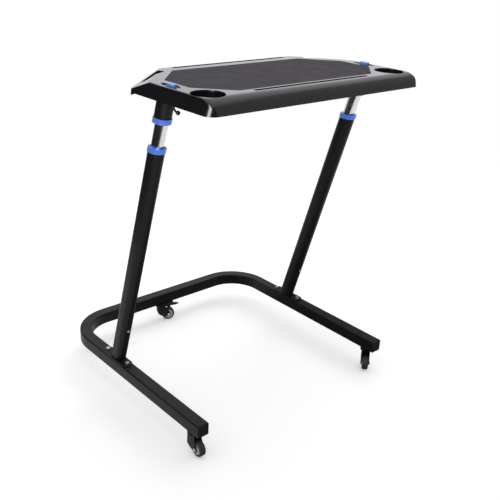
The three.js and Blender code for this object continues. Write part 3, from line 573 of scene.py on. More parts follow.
class Tree:
    """The nodes of a group, or of a material or world, which starts empty"""

    def __init__(self, owner):
        self.owner = owner
        self.group = owner
        if not isinstance(owner, bpy.types.NodeTree):
            owner.use_nodes = True
            self.group = owner.node_tree
            self.group.nodes.clear()

    def node(self, kind, inputs=None, **settings):
        """A node of a type, with its settings, and the values or links of its sockets"""
        made = self.group.nodes.new(kind)
        for key, value in settings.items():
            setattr(made, key, value)
        for key, value in (inputs or {}).items():
            self.feed(made.inputs[key], value)
        return made

    def feed(self, socket, value):
        if isinstance(value, Number):
            value = value.socket
        if isinstance(value, bpy.types.NodeSocket):
            self.group.links.new(value, socket)
        else:
            socket.default_value = value

    def number(self, kind, output, inputs=None, **settings):
        return Number(self, self.node(kind, inputs, **settings).outputs[output])

    def worked(self, operation, first, second):
        return self.number("ShaderNodeMath", 0, {0: first, 1: second}, operation=operation)

    def glow(self, colour, strength):
        return self.node("ShaderNodeEmission", {"Color": colour, "Strength": strength}).outputs[0]


def shade(code):
    """A colour as displayed, such as 0x1f1f20, in the linear values that sockets take"""
    parts = [(code >> step & 255) / 255 for step in (16, 8, 0)]
    return (*[p / 12.92 if p < 0.04045 else ((p + 0.055) / 1.055) ** 2.4 for p in parts], 1.0)


class Finish(Tree):
    """A material built round one Principled shader"""

    def __init__(self, name, **fixed):
        super().__init__(bpy.data.materials.new(name))
        self.shader = self.node(
            "ShaderNodeBsdfPrincipled", {key.replace("_", " "): value for key, value in fixed.items()})
        self.node("ShaderNodeOutputMaterial", {"Surface": self.shader.outputs["BSDF"]})
        self.place = self.node("ShaderNodeTexCoord").outputs["Object"]

    def stretched(self, scales, lean=0.0):
        """Object coordinates that are stretched, and turned about X by the lean of the legs"""
        inputs = {"Vector": self.place, "Scale": scales, "Rotation": (lean, 0, 0)}
        return self.node("ShaderNodeMapping", inputs, vector_type="TEXTURE").outputs["Vector"]

    def noise(self, size, detail=2.0, place=None):
        """Cloudy values from 0 to 1, with features of about the given size in metres"""
        inputs = {"Vector": place or self.place, "Scale": 1 / size, "Detail": detail}
        return self.number("ShaderNodeTexNoise", "Fac", inputs)

    def grains(self, size):
        """Rounded pebbles: nought at the middle of each"""
        inputs = {"Vector": self.place, "Scale": 1 / size}
        return self.number("ShaderNodeTexVoronoi", "Distance", inputs, feature="SMOOTH_F1")

    def waves(self, size, direction):
        """Parallel ridges along one axis"""
        inputs = {"Vector": self.place, "Scale": WAVE_PITCH / size}
        return self.number("ShaderNodeTexWave", "Fac", inputs, bands_direction=direction)

    def worn_edges(self):
        """One on edges, where the surface turns within a short reach"""
        turned_out = self.node("ShaderNodeBevel", {"Radius": WEAR_REACH}, samples=4).outputs["Normal"]
        as_it_is = self.node("ShaderNodeNewGeometry").outputs["Normal"]
        alike = self.number(
            "ShaderNodeVectorMath", "Value", {0: turned_out, 1: as_it_is}, operation="DOT_PRODUCT")
        return (1 - alike).above(*WEAR_EDGE)

    def facing_up(self):
        """One on faces that look up, nought on the others"""
        normal = self.node("ShaderNodeNewGeometry").outputs["Normal"]
        return self.number("ShaderNodeSeparateXYZ", "Z", {0: normal}).above(0.8, 0.3)

    def mixed(self, factor, first, second):
        """A colour between two, by a factor"""
        first, second = (shade(c) if isinstance(c, int) else c for c in (first, second))
        return self.node("ShaderNodeMix", {0: factor, 6: first, 7: second}, data_type="RGBA").outputs[2]

    def painted(self, colour, roughness, *bumps):
        """Feeds the shader. A bump is a height and the depth of its relief in metres."""
        self.feed(self.shader.inputs["Base Color"], colour)
        self.feed(self.shader.inputs["Roughness"], roughness)
        relief = {"Strength": 1.0}
        for height, depth in bumps:
            relief.update({"Height": height, "Distance": depth})
            relief["Normal"] = self.node("ShaderNodeBump", relief).outputs["Normal"]
        self.feed(self.shader.inputs["Normal"], relief["Normal"])
        return self.owner


# Finishes

def powder_coat():
    """Black powder coat on steel: a fine orange peel, polished edges, a trace of dust on top"""
    paint = Finish("powder_coat", Specular_IOR_Level=0.16)
    colour = paint.mixed(paint.noise(0.06, 3), 0x0c0c0e, 0x121113)
    colour = paint.mixed(paint.noise(0.0016, 1).above(0.68, 0.1) * 0.5, colour, 0x222225)
    dust = paint.facing_up() * paint.noise(0.02, 4).above(0.5, 0.5) * 0.35
    colour = paint.mixed(dust, colour, 0x302e31)
    worn = paint.worn_edges()
    colour = paint.mixed(worn * 0.35, colour, 0x3c3b3e)
    roughness = paint.noise(0.03, 3) * 0.12 + 0.36 + dust * 0.3 - worn * 0.1
    peel, grit = paint.noise(0.004), paint.noise(0.0012, 1)
    return paint.painted(colour, roughness, (peel, 0.00012), (grit, 0.00004))


def moulded_shell():
    """Black moulded plastic with a fine spark-eroded grain, painted sheen specks and faint handling marks"""
    plastic = Finish("moulded_shell")
    clouds = plastic.noise(0.08, 3)
    colour = plastic.mixed(clouds, 0x131215, 0x1a191c)
    # Painted sheen: lighter specks stand in for glints on the grain, and they make the surface a little
    # rougher
    sheen_specks = plastic.noise(0.0022).above(0.62, 0.16)
    colour = plastic.mixed(sheen_specks * 0.4, colour, 0x2c2a2f)
    colour = plastic.mixed(plastic.worn_edges() * 0.3, colour, 0x444247)
    rubbed = plastic.noise(0.05, 5, plastic.stretched((3, 1, 1))).above(0.56, 0.2)
    roughness = clouds * 0.05 + 0.13 + rubbed * 0.05 + sheen_specks * 0.04
    sparks, swell = plastic.grains(0.0014), plastic.noise(0.009)
    return plastic.painted(colour, roughness, (sparks, 0.000015), (swell, 0.00003))


def dull_plastic():
    """Plain black plastic for sockets, caps, forks and hooks"""
    plastic = Finish("dull_plastic", Specular_IOR_Level=0.18)
    colour = plastic.mixed(plastic.noise(0.02, 3), 0x0b0b0c, 0x121113)
    colour = plastic.mixed(plastic.worn_edges() * 0.4, colour, 0x38373a)
    roughness = plastic.noise(0.01, 3) * 0.14 + 0.38
    sparks, swell = plastic.grains(0.0011), plastic.noise(0.006)
    return plastic.painted(colour, roughness, (sparks, 0.00003), (swell, 0.00005))


def ribbed_pad():
    """The mat's dark grey rubber: a fine crossed grain with worn and dusty clouds"""
    rubber = Finish("ribbed_pad", Specular_IOR_Level=0.2)
    colour = rubber.mixed(rubber.noise(0.07, 4), 0x29242c, 0x332e37)
    weave = rubber.waves(0.0024, "X") * rubber.waves(0.0024, "Y")
    colour = rubber.mixed(weave * 0.35, colour, 0x423d46)
    colour = rubber.mixed(rubber.noise(0.0012, 1).above(0.72, 0.06) * 0.3, colour, 0x5a555e)
    roughness = 0.84 - rubber.noise(0.05, 4).above(0.55, 0.3) * 0.1
    return rubber.painted(colour, roughness, (weave, 0.00022), (rubber.noise(0.0009), 0.00008))


def bright_chrome():
    """Chromed steel with drawing lines along the tube and a few water marks"""
    chrome = Finish("bright_chrome", Metallic=1.0)
    lines = chrome.noise(0.0011, 2, chrome.stretched((1, 1, 60), LEAN))
    marks = chrome.noise(0.012, 4).above(0.6, 0.1)
    colour = chrome.mixed(marks * 0.15 + lines * 0.25, 0xd8d6d8, 0xb4b2b5)
    return chrome.painted(colour, lines * 0.06 + 0.12 + marks * 0.03, (lines, 0.000006))


def zinc_plate():
    """Zinc-plated steel: spangled, slightly dull, brighter on its edges"""
    zinc = Finish("zinc_plate", Metallic=1.0)
    spangle = zinc.grains(0.0016)
    colour = zinc.mixed(zinc.noise(0.004, 3), 0xa9abae, 0xc6c6c4)
    colour = zinc.mixed(zinc.worn_edges() * 0.6, colour, 0xe2e2e2)
    roughness = spangle * 0.15 + 0.24 + zinc.noise(0.003) * 0.12
    return zinc.painted(colour, roughness, (zinc.noise(0.0008), 0.00003))


def blue_moulding(name, light, dark, gloss):
    """Coloured through plastic with a satin skin, faint flow marks and paler edges"""
    plastic = Finish(name)
    flow = plastic.noise(0.012, 4, plastic.stretched((1, 1, 3)))
    colour = plastic.mixed(plastic.worn_edges() * 0.3, plastic.mixed(flow, dark, light), 0x9fc0f4)
    roughness = plastic.noise(0.006, 3) * 0.12 + gloss
    return plastic.painted(colour, roughness, (plastic.grains(0.0008), 0.000015), (flow, 0.00004))


def hub_moulding():
    """The casters' light grey hubs, with blotches of dust"""
    plastic = Finish("hub_moulding")
    colour = plastic.mixed(plastic.noise(0.006, 4), 0xa3a3a3, 0xc2c2c2)
    colour = plastic.mixed(plastic.noise(0.003, 3).above(0.58, 0.12) * 0.4, colour, 0x77736e)
    return plastic.painted(colour, plastic.noise(0.004) * 0.15 + 0.38, (plastic.noise(0.0015), 0.00005))


def tyre_rubber():
    """Black rubber with scuffs round the tread"""
    rubber = Finish("tyre_rubber", Specular_IOR_Level=0.35)
    scuffs = rubber.noise(0.002, 4, rubber.stretched((1, 1, 0.4))).above(0.56, 0.16)
    colour = rubber.mixed(rubber.noise(0.01, 3), 0x151515, 0x202021)
    colour = rubber.mixed(scuffs * 0.45, colour, 0x4a4846)
    return rubber.painted(colour, 0.6 + scuffs * 0.2, (rubber.noise(0.0009, 3), 0.00008))


finishes = {
    "black_paint": powder_coat(),
    "shell_plastic": moulded_shell(),
    "black_plastic": dull_plastic(),
    "mat_pad": ribbed_pad(),
    "bright_chrome": bright_chrome(),
    "zinc_steel": zinc_plate(),
    "blue_plastic": blue_moulding("collar_blue", 0x568cf2, 0x4579e4, 0.3),
    "button_blue": blue_moulding("button_blue", 0x82a6f4, 0x7096ea, 0.26),
    "hub_grey": hub_moulding(),
    "tyre_black": tyre_rubber(),
}


# Geometry Nodes trees

class Shaper(Tree):
    """A Geometry Nodes tree with named inputs, which ends in Realize Instances and Set Material"""

    def __init__(self, name, **sizes):
        super().__init__(bpy.data.node_groups.new(name, "GeometryNodeTree"))
        ports = self.group.interface
        kinds = {
            "Geometry": "Geometry", "Fastener": "Object", "Finish": "Material", float: "Float", int: "Int"}
        for label, size in {"Geometry": None, **sizes, "Finish": None}.items():
            kind = kinds.get(label) or kinds[type(size)]
            port = ports.new_socket(label.replace("_", " "), in_out="INPUT", socket_type=f"NodeSocket{kind}")
            if size is not None:
                port.default_value = size
        ports.new_socket("Geometry", in_out="OUTPUT", socket_type="NodeSocketGeometry")
        self.given = self.node("NodeGroupInput").outputs

    def shaped(self, kind, inputs, **settings):
        """The first output of a geometry node"""
        return self.node(f"GeometryNode{kind}", inputs, **settings).outputs[0]

    def filleted(self, curve, count, radius):
        inputs = {"Curve": curve, "Count": count, "Radius": radius, "Limit Radius": True}
        return self.shaped("FilletCurve", inputs, mode="POLY")

    def wired(self, curve, sides):
        """Ends with a round wire along a curve, closed at its ends"""
        ring = self.shaped("CurvePrimitiveCircle", {"Resolution": sides, "Radius": self.given["Wire radius"]})
        inputs = {"Curve": curve, "Profile Curve": ring, "Fill Caps": True}
        return self.ended(self.shaped("CurveToMesh", inputs))

    def ended(self, geometry):
        real = self.shaped("RealizeInstances", {0: geometry})
        painted = self.shaped("SetMaterial", {"Geometry": real, "Material": self.given["Finish"]})
        self.node("NodeGroupOutput", {0: painted})
        return self

    def on(self, body, slot, **values):
        """Runs the tree on a body with a finish and these inputs, and makes the result plain"""
        step = body.modifiers.new("Shape", "NODES")
        step.node_group = self.group
        values["Finish"] = finishes[slot]
        for port in self.group.interface.items_tree:
            key = port.name.replace(" ", "_")
            if port.in_out == "INPUT" and key in values:
                step[port.identifier] = values[key]
        return made_plain(body)


def bent_tube_tree():
    """A square tube swept along a line whose corners are bent"""
    shaper = Shaper(
        "Bent square tube", Tube_size=TUBE, Tube_corner=TUBE_CORNER, Bend_radius=BEND_RADIUS,
        Bend_steps=BEND_STEPS)
    given = shaper.given
    line = shaper.shaped("MeshToCurve", {"Mesh": given["Geometry"]})
    bent = shaper.filleted(line, given["Bend steps"], given["Bend radius"])
    upright = shaper.shaped("SetCurveNormal", {"Curve": bent}, mode="Z_UP")
    section = shaper.shaped(
        "CurvePrimitiveQuadrilateral", {"Width": given["Tube size"], "Height": given["Tube size"]})
    soft = shaper.filleted(section, RIM_STEPS, given["Tube corner"])
    return shaper.ended(shaper.shaped("CurveToMesh", {"Curve": upright, "Profile Curve": soft}))


def wire_tree():
    """A round wire along the line that is given"""
    shaper = Shaper("Round wire", Wire_radius=HOOK_WIRE)
    line = shaper.shaped("MeshToCurve", {"Mesh": shaper.given["Geometry"]})
    return shaper.wired(line, ROUND_SIDES // 2)


def coil_tree():
    """A helical spring that stands at the origin"""
    radius, wire, coils = SPRING
    shaper = Shaper("Coil spring", Coil_radius=radius, Wire_radius=wire, Height=BUTTON_TRAVEL, Coils=coils)
    given = shaper.given
    helix = shaper.shaped("CurveSpiral", {
        "Resolution": ROUND_SIDES, "Rotations": given["Coils"], "Start Radius": given["Coil radius"],
        "End Radius": given["Coil radius"], "Height": given["Height"]})
    return shaper.wired(helix, ROUND_SIDES // 3)


def fastener_tree():
    """The same fastener at each point, every one turned by its own chance angle"""
    shaper = Shaper("Fasteners on points", Fastener=None, Tilt=0.0, Seed=7)
    given = shaper.given
    shape = shaper.node("GeometryNodeObjectInfo", {"Object": given["Fastener"]}).outputs["Geometry"]
    chance = shaper.node(
        "FunctionNodeRandomValue", {2: 0.0, 3: math.tau, "Seed": given["Seed"]}, data_type="FLOAT")
    copies = shaper.shaped("InstanceOnPoints", {"Points": given["Geometry"], "Instance": shape})
    for turning in ({"X": given["Tilt"]}, {"Z": chance.outputs[1]}):
        angles = shaper.node("ShaderNodeCombineXYZ", turning).outputs[0]
        copies = shaper.shaped("RotateInstances", {"Instances": copies, "Rotation": angles})
    return shaper.ended(copies)


bent_tube = bent_tube_tree()
round_wire = wire_tree()
coil_spring = coil_tree()
fastener_set = fastener_tree()


def points_object(points, edges=()):
    """Bare points and the edges between them, for a tree to work on"""
    mesh = bpy.data.meshes.new("points")
    mesh.from_pydata(points, edges, [])
    return linked("points", mesh)


def line_of(points):
    return points_object(points, [(i, i + 1) for i in range(len(points) - 1)])


def coil_at(radius, wire, height, coils):
    """A zinc-plated spring of a height between its wires' middles, at the origin"""
    return coil_spring.on(
        points_object([(0, 0, 0)]), "zinc_steel", Coil_radius=radius, Wire_radius=wire, Height=height,
        Coils=coils)


def fastened(name, body, fastener, spots, nodes, **inputs):
    """One piece of the same fastener at all the spots"""
    placed = fastener_set.on(points_object(spots), "zinc_steel", Fastener=fastener, **inputs)
    bpy.data.objects.remove(fastener)
    return dressed(placed, name, body, "zinc_steel", *nodes)


# Fasteners, each standing at the origin with its seat at height zero

def hex_head(radius, height):
    """A hexagon whose top corners are turned off"""
    chamfer = radius * HEX_CHAMFER
    wide, shoulder = radius + OVERRUN, height - chamfer / 2
    cone = stack([
        (wide, -OVERRUN), (wide, shoulder - OVERRUN), (radius, shoulder), (radius - chamfer, height),
        (radius - chamfer, height + OVERRUN)])
    return common(prism(circle((0, 0), radius, 6), 0, height), cone)


def hex_bolt(head, shank_radius, length):
    narrow, taper = (shank_radius * share for share in BOLT_TIP)
    shank = stack([(narrow, -length), (shank_radius, taper - length), (shank_radius, head[1] / 2)])
    return join(hex_head(*head), shank)


def pan_screw(size):
    """A domed head with a cross recess on a plain shank"""
    shank_radius, radius, height, length = size
    dome = [(radius * math.cos(t), height * (PAN_EDGE + (1 - PAN_EDGE) * math.sin(t)))
            for t in (math.radians(PAN_STEP * i) for i in range(int(90 / PAN_STEP)))]
    body = stack([
        (shank_radius * PAN_SHANK_TIP, -length), (shank_radius, shank_radius - length), (shank_radius, 0),
        (radius, 0), *dome, (radius * PAN_CROWN, height)])
    long, short = (radius * share for share in PAN_CROSS)
    slots = [prism(soft_box(*sides, 0, steps=2), height * PAN_EDGE, height + OVERRUN)
             for sides in ((long, short), (short, long))]
    return cut(body, *slots)


# Base

def base_tube():
    """The U of square tube, swept by its tree and given its wall"""
    middle_y = BACK_Y - TUBE / 2
    start_y = ARM_FRONT_Y + CAP_FLANGE
    plan = ((-ARM_X, start_y), (-ARM_X, middle_y), (ARM_X, middle_y), (ARM_X, start_y))
    line = line_of([(x, y, FRAME_TOP - TUBE / 2) for x, y in plan])
    tube = bent_tube.on(line, "black_paint", Bend_radius=BEND_RADIUS - TUBE / 2)
    wall = tube.modifiers.new("Wall", "SOLIDIFY")
    wall.thickness = TUBE_WALL
    wall.offset = -1
    wall.use_even_offset = True
    made_plain(tube)
    return dressed(tube, "base_tube", "base", "black_paint", "base_frame")


def end_cap(sign):
    """A plastic plug with a softly domed face over the tube's end"""
    plug_size = TUBE - 2 * TUBE_WALL - 4 * GAP
    plug = lambda inset: soft_box(plug_size, plug_size, TUBE_CORNER - TUBE_WALL, inset)
    face = lambda inset: soft_box(TUBE, TUBE, TUBE_CORNER, inset)
    rings = [level(plug(CAP_ROUND), -CAP_PLUG), level(plug(0), CAP_ROUND - CAP_PLUG), level(plug(0), -GAP)]
    rings += [level(face(0), -GAP), *rim(face, CAP_FLANGE, CAP_ROUND)]
    return moved(on_side(loft(rings)), at(sign * ARM_X, ARM_FRONT_Y + CAP_FLANGE, FRAME_TOP - TUBE / 2))


def foot_plate(sign):
    *size, thickness = PLATE
    plate = bar(solid_oval(size), 0, thickness, 0, PLATE_ROUND)
    holes = [circle((0, end * BOLT_PITCH / 2), BOLT_RADIUS + SLIDE_GAP) for end in (-1, 1)]
    cut(plate, *[prism(hole, -OVERRUN, OVERRUN) for hole in holes])
    return moved(plate, at(sign * ARM_X, FOOT_Y, FRAME_TOP))


def foot_bolts():
    seat = FRAME_TOP + PLATE[2]
    spots = [(x, FOOT_Y + end * BOLT_PITCH / 2, seat) for x in (-ARM_X, ARM_X) for end in (-1, 1)]
    nodes = [f"foot_bolt_{side}_{end}" for side, _ in SIDES for end in ("front", "back")]
    bolt = hex_bolt(BOLT_HEAD, BOLT_RADIUS, BOLT_LENGTH)
    return fastened("foot_bolts", "base", bolt, spots, nodes, Seed=3)


# Legs

def leg_place(sign):
    """A leg's own frame: its foot's middle on the base, with Z along the leg"""
    return at(sign * LEG_X, FOOT_Y, FRAME_TOP) @ turn(LEAN, "X")


def on_leg(body, sign):
    return moved(body, leg_place(sign))


def leg_level(height):
    """A level plane at a height above the frame, as a leg's own height and slope along its Y"""
    return height / math.cos(LEAN), -math.tan(LEAN)


def slanted(points, height):
    """The points on the nearly level plane of a collar's rim, at a height along the leg's middle"""
    return level(points, height, COLLAR_SLOPE)


def narrowed(size, wall):
    """The size of an oval tube's bore, or of what fits in it"""
    return size[0] - 2 * wall, size[1] - 2 * wall


def outer_tube(sign):
    low, slope = leg_level(PLATE[2] + GAP)
    tube = sleeve(OUTER_TUBE, narrowed(OUTER_TUBE, OUTER_WALL), low, OUTER_LENGTH, (slope, COLLAR_SLOPE))
    hole = on_side(stack([(LEG_SCREW[0] + GAP, 0), (LEG_SCREW[0] + GAP, OUTER_TUBE[0])]))
    return on_leg(cut(tube, moved(hole, at(0, 0, LEG_SCREW_AT))), sign)


def leg_screws():
    """One on the front of each leg, set by the same tree as the bolts"""
    seat = -OUTER_TUBE[0] / 2 - GAP
    spots = [leg_place(sign) @ Vector((0, seat, LEG_SCREW_AT)) for _, sign in SIDES]
    nodes = [f"leg_screw_{side}" for side, _ in SIDES]
    return fastened("leg_screws", "base", pan_screw(LEG_SCREW), spots, nodes, Tilt=math.pi / 2 + LEAN, Seed=5)


def lower_collar(sign):
    """A blue cap on the outer tube, with the guide bush inside the tube"""
    bottom = LOWER_COLLAR - COLLAR_HEIGHT
    seat_top = OUTER_LENGTH + GAP
    bush = oval(narrowed(OUTER_TUBE, OUTER_WALL + GAP))
    seat = oval(OUTER_TUBE, GAP)
    cover, guide = solid_oval(COLLAR), open_oval(INNER_TUBE, SLIDE_GAP)
    rings = rim(cover, bottom, -COLLAR_ROUND, COLLAR_SLOPE)[::-1]
    rings += rim(cover, LOWER_COLLAR, COLLAR_ROUND, COLLAR_SLOPE)
    rings += rim(guide, LOWER_COLLAR, COLLAR_ROUND / 2, COLLAR_SLOPE)[::-1]
    rings += [level(guide(0), seat_top - BUSH_DEPTH), level(bush, seat_top - BUSH_DEPTH)]
    rings += [slanted(bush, seat_top), slanted(seat, seat_top), slanted(seat, bottom)]
    return on_leg(loft(rings, closed=True), sign)


def upper_collar(sign):
    """A blue cap under the socket, which the inner tube passes through"""
    top = UPPER_COLLAR + COLLAR_HEIGHT
    shelf = UPPER_COLLAR + COLLAR_LIP
    seat = oval(OUTER_TUBE, GAP)
    cover, passage = solid_oval(COLLAR), open_oval(INNER_TUBE, GAP)
    rings = rim(passage, UPPER_COLLAR, -COLLAR_ROUND / 2, COLLAR_SLOPE)
    rings += rim(cover, UPPER_COLLAR, -COLLAR_ROUND, COLLAR_SLOPE)[::-1]
    rings += rim(cover, top, COLLAR_ROUND / 2, COLLAR_SLOPE)
    rings += [slanted(seat, top), slanted(seat, shelf), slanted(passage(0), shelf)]
    return on_leg(loft(rings, closed=True), sign)


def upper_socket(sign):
    """The black sleeve under the desk and its screwed flange"""
    bottom = UPPER_COLLAR + COLLAR_LIP + GAP
    top, slope = leg_level(DESK_IN_LEG + FLANGE[2] / 2)
    solid = loft([slanted(oval(OUTER_TUBE), bottom), level(oval(OUTER_TUBE), top, slope)])
    under = math.tan(LEAN) * DESK_IN_LEG
    flange = bar(solid_oval(FLANGE[:2]), DESK_IN_LEG, DESK_IN_LEG + FLANGE[2], PLATE_ROUND, 0)
    moved(flange, turn(-LEAN, "X") @ at(0, -under, 0))
    passage = oval(INNER_TUBE, GAP)
    bore = loft([level(passage, bottom - OVERRUN), level(passage, *leg_level(DESK_IN_LEG))])
    rod = prism(circle((-sign * ROD_OFFSET, 0), ROD_HOLE), bottom, top + OVERRUN)
    holes = []
    for end in (-1, 1):
        spot = circle((0, end * SOCKET_SCREW_PITCH / 2 - under), SCREW_HOLE)
        holes.append(moved(prism(spot, DESK_IN_LEG - OVERRUN, DESK_IN_LEG + OVERRUN), turn(-LEAN, "X")))
    return on_leg(cut(join(solid, flange), bore, rod, *holes), sign)


def inner_tube(sign):
    top, slope = leg_level(DESK_IN_LEG - GAP)
    bore = narrowed(INNER_TUBE, INNER_WALL)
    return on_leg(sleeve(INNER_TUBE, bore, OUTER_LENGTH - ENGAGEMENT, top, (0.0, slope)), sign)


# Desktop, made with its top face at height zero

def shell_corners(front, side, back):
    """The plan of the desktop, with its front, its sides and its back drawn in by these amounts"""
    rise, run = TIP_SETBACK, (WIDTH - BACK_EDGE) / 2
    half, end = WIDTH / 2 - side, BACK_EDGE / 2 + back * run / rise
    tip_y = DESK_BACK_Y - TIP_SETBACK + side * rise / run
    near, far = FRONT_Y + front, DESK_BACK_Y - back
    return [
        (-half, near, FRONT_CORNER), (half, near, FRONT_CORNER), (half, tip_y, TIP_ROUND),
        (end, far, BACK_CORNER), (-end, far, BACK_CORNER), (-half, tip_y, TIP_ROUND)]


def front_corner(front, side, wall):
    """The front left corner of an outline: an upright round, cut by the lip and softened where they meet"""
    reach = FRONT_CORNER - CORNER_SOFT
    middle = Vector((side + FRONT_CORNER - WIDTH / 2, FRONT_Y + FRONT_CORNER + max(0, front - reach)))
    last = math.pi + math.asin(max(0, reach - front) / reach)
    spots = []
    for i in range(CORNER_STEPS + 1):
        now = math.pi + math.pi / 2 * i / CORNER_STEPS
        held = min(now, last)
        core = middle + Vector((math.cos(held), math.sin(held))) * reach
        spots.append(core + Vector((math.cos(now), math.sin(now))) * (CORNER_SOFT - wall))
    return spots


def shell_outline(front, side, back, wall):
    outline = rounded(shell_corners(front, side, back), wall)
    left = front_corner(front, side, wall)
    right = [Vector((-p.x, p.y)) for p in reversed(left)]
    return left + right + outline[2 * len(left):]


def drawn_in(height, reach, rise):
    """How far a quarter ellipse has come in at a height"""
    return reach * (1 - math.sqrt(max(0.0, 1 - (height / rise) ** 2)))


def underside():
    """What is kept below: the flat rim, and a droop at each tip of the back"""
    tip = DESK_BACK_Y - TIP_SETBACK + TIP_DROOP_SHIFT
    near, far = TIP_DROOP_FLAT / 2, TIP_DROOP_FLAT / 2 + TIP_DROOP_RAMP
    low, out = -DESK_RIM - TIP_DROOP, OVERRUN
    front, back = FRONT_Y - out, DESK_BACK_Y + out
    return crosswise([
        (front, out), (back, out), (back, -DESK_RIM), (tip + far, -DESK_RIM), (tip + near, low),
        (tip - near, low), (tip - far, -DESK_RIM), (front, -DESK_RIM)], WIDTH + out)


def facet_plane(sign):
    """The sloping back corner, as a place whose Z points out of it"""
    fold = [
        Vector((sign * (WIDTH / 2 - SIDE_DRAFT), DESK_BACK_Y - FACET_LENGTH, 0)),
        Vector((sign * BACK_EDGE / 2, DESK_BACK_Y, 0)),
        Vector((sign * (WIDTH / 2 - FACET_TIP_INSET), DESK_BACK_Y - TIP_SETBACK, -FACET_DROP))]
    along = (fold[1] - fold[0]).normalized()
    out = along.cross(fold[2] - fold[0]).normalized()
    if out.z < 0:
        out.negate()
    basis = Matrix((along, out.cross(along), out)).transposed().to_4x4()
    return Matrix.Translation((fold[0] + fold[1]) / 2) @ basis


def shell_body(wall, top_wall, depth):
    """The outside of the shell, or its hollow when the walls are given, as a stack of outlines"""
    rings = [level(shell_outline(0, 0, 0, wall), -depth)]
    for i in range(LIP_STEPS + 1):
        up = (DESK_RIM - top_wall) * math.sin(math.pi / 2 * i / LIP_STEPS)
        front = drawn_in(up, LIP_REACH - wall, DESK_RIM - top_wall)
        brow = EDGE_ROUND + up + top_wall - DESK_RIM
        edge = drawn_in(brow, EDGE_ROUND, EDGE_ROUND) if brow > 0 else 0
        side = SIDE_DRAFT * min(1, up / (DESK_RIM - top_wall - EDGE_ROUND)) + edge
        rings.append(level(shell_outline(front, side, edge, wall), up - DESK_RIM))
    body = loft(rings)
    above = [moved(prism(sharp_box(WIDTH, WIDTH), 0, DESK_RIM), at(0, 0, -top_wall) @ facet_plane(sign))
             for _, sign in SIDES]
    cut(body, *above)
    return body if wall else common(body, underside())


def mat_outline(inset=0.0):
    right = [
        (MAT_FRONT / 2, MAT_FRONT_Y, MAT_ROUND), (MAT_SIDE / 2, MAT_FRONT_Y + MAT_FRONT_CORNER, MAT_ROUND),
        (MAT_SIDE / 2, MAT_BACK_Y - MAT_BACK_CORNER, MAT_ROUND), (MAT_BACK / 2, MAT_BACK_Y, MAT_ROUND)]
    left = [(-x, y, soft) for x, y, soft in reversed(right)]
    return rounded(left[-1:] + right + left[:-1], inset, RIM_STEPS)


def hand_place(sign):
    """The middle of a hand hole, turned so that its long side follows the corner's edge"""
    tip = Vector((sign * WIDTH / 2, DESK_BACK_Y - TIP_SETBACK))
    end = Vector((sign * BACK_EDGE / 2, DESK_BACK_Y))
    along = (end - tip).normalized()
    middle = (tip + end) / 2 + Vector((-along.y, along.x)) * sign * HAND_INSET
    return at(*middle, 0) @ turn(math.atan2(along.y, along.x) - math.pi / 2, "Z")


def hand_hole(sign):
    """A hand hole's cutter, whose rim opens along the sloping face"""
    plane = facet_plane(sign)
    normal = plane.to_3x3() @ Vector((0, 0, 1))
    place = hand_place(sign)
    heights = [(0.0, -DESK_RIM - OVERRUN, False)]
    heights += [(growth, -down, True) for growth, down in quarter(RIM_ROUND)]
    heights += [(RIM_ROUND, OVERRUN, True)]
    rings = []
    for growth, height, sloped in heights:
        ring = []
        for p in oval(HAND[:2], growth):
            spot = place @ Vector((*p, 0))
            face = normal.dot(plane.translation - spot) / normal.z if sloped else 0
            ring.append(Vector((spot.x, spot.y, face + height)))
        rings.append(ring)
    return loft(rings)


def sheared(body):
    """Upright lines follow the lean of the legs"""
    lean = Matrix.Identity(4)
    lean[1][2] = -math.tan(LEAN)
    return moved(body, lean)


def slot_cutter(y):
    outline = lambda growth: soft_box(*SLOT[:2], SLOT_CORNER, -growth, (0, y))
    return pocket(outline, -SLOT[2], RIM_ROUND / 2, RIM_ROUND)


def screw_spots(sign):
    """Where the socket's two screws go up into the desk"""
    return [(sign * LEG_X, SOCKET_Y + end * SOCKET_SCREW_PITCH / 2) for end in (-1, 1)]


def on_desk(body, name, slot, node):
    return dressed(moved(body, at(0, 0, DESK_TOP)), name, "desk", slot, node)


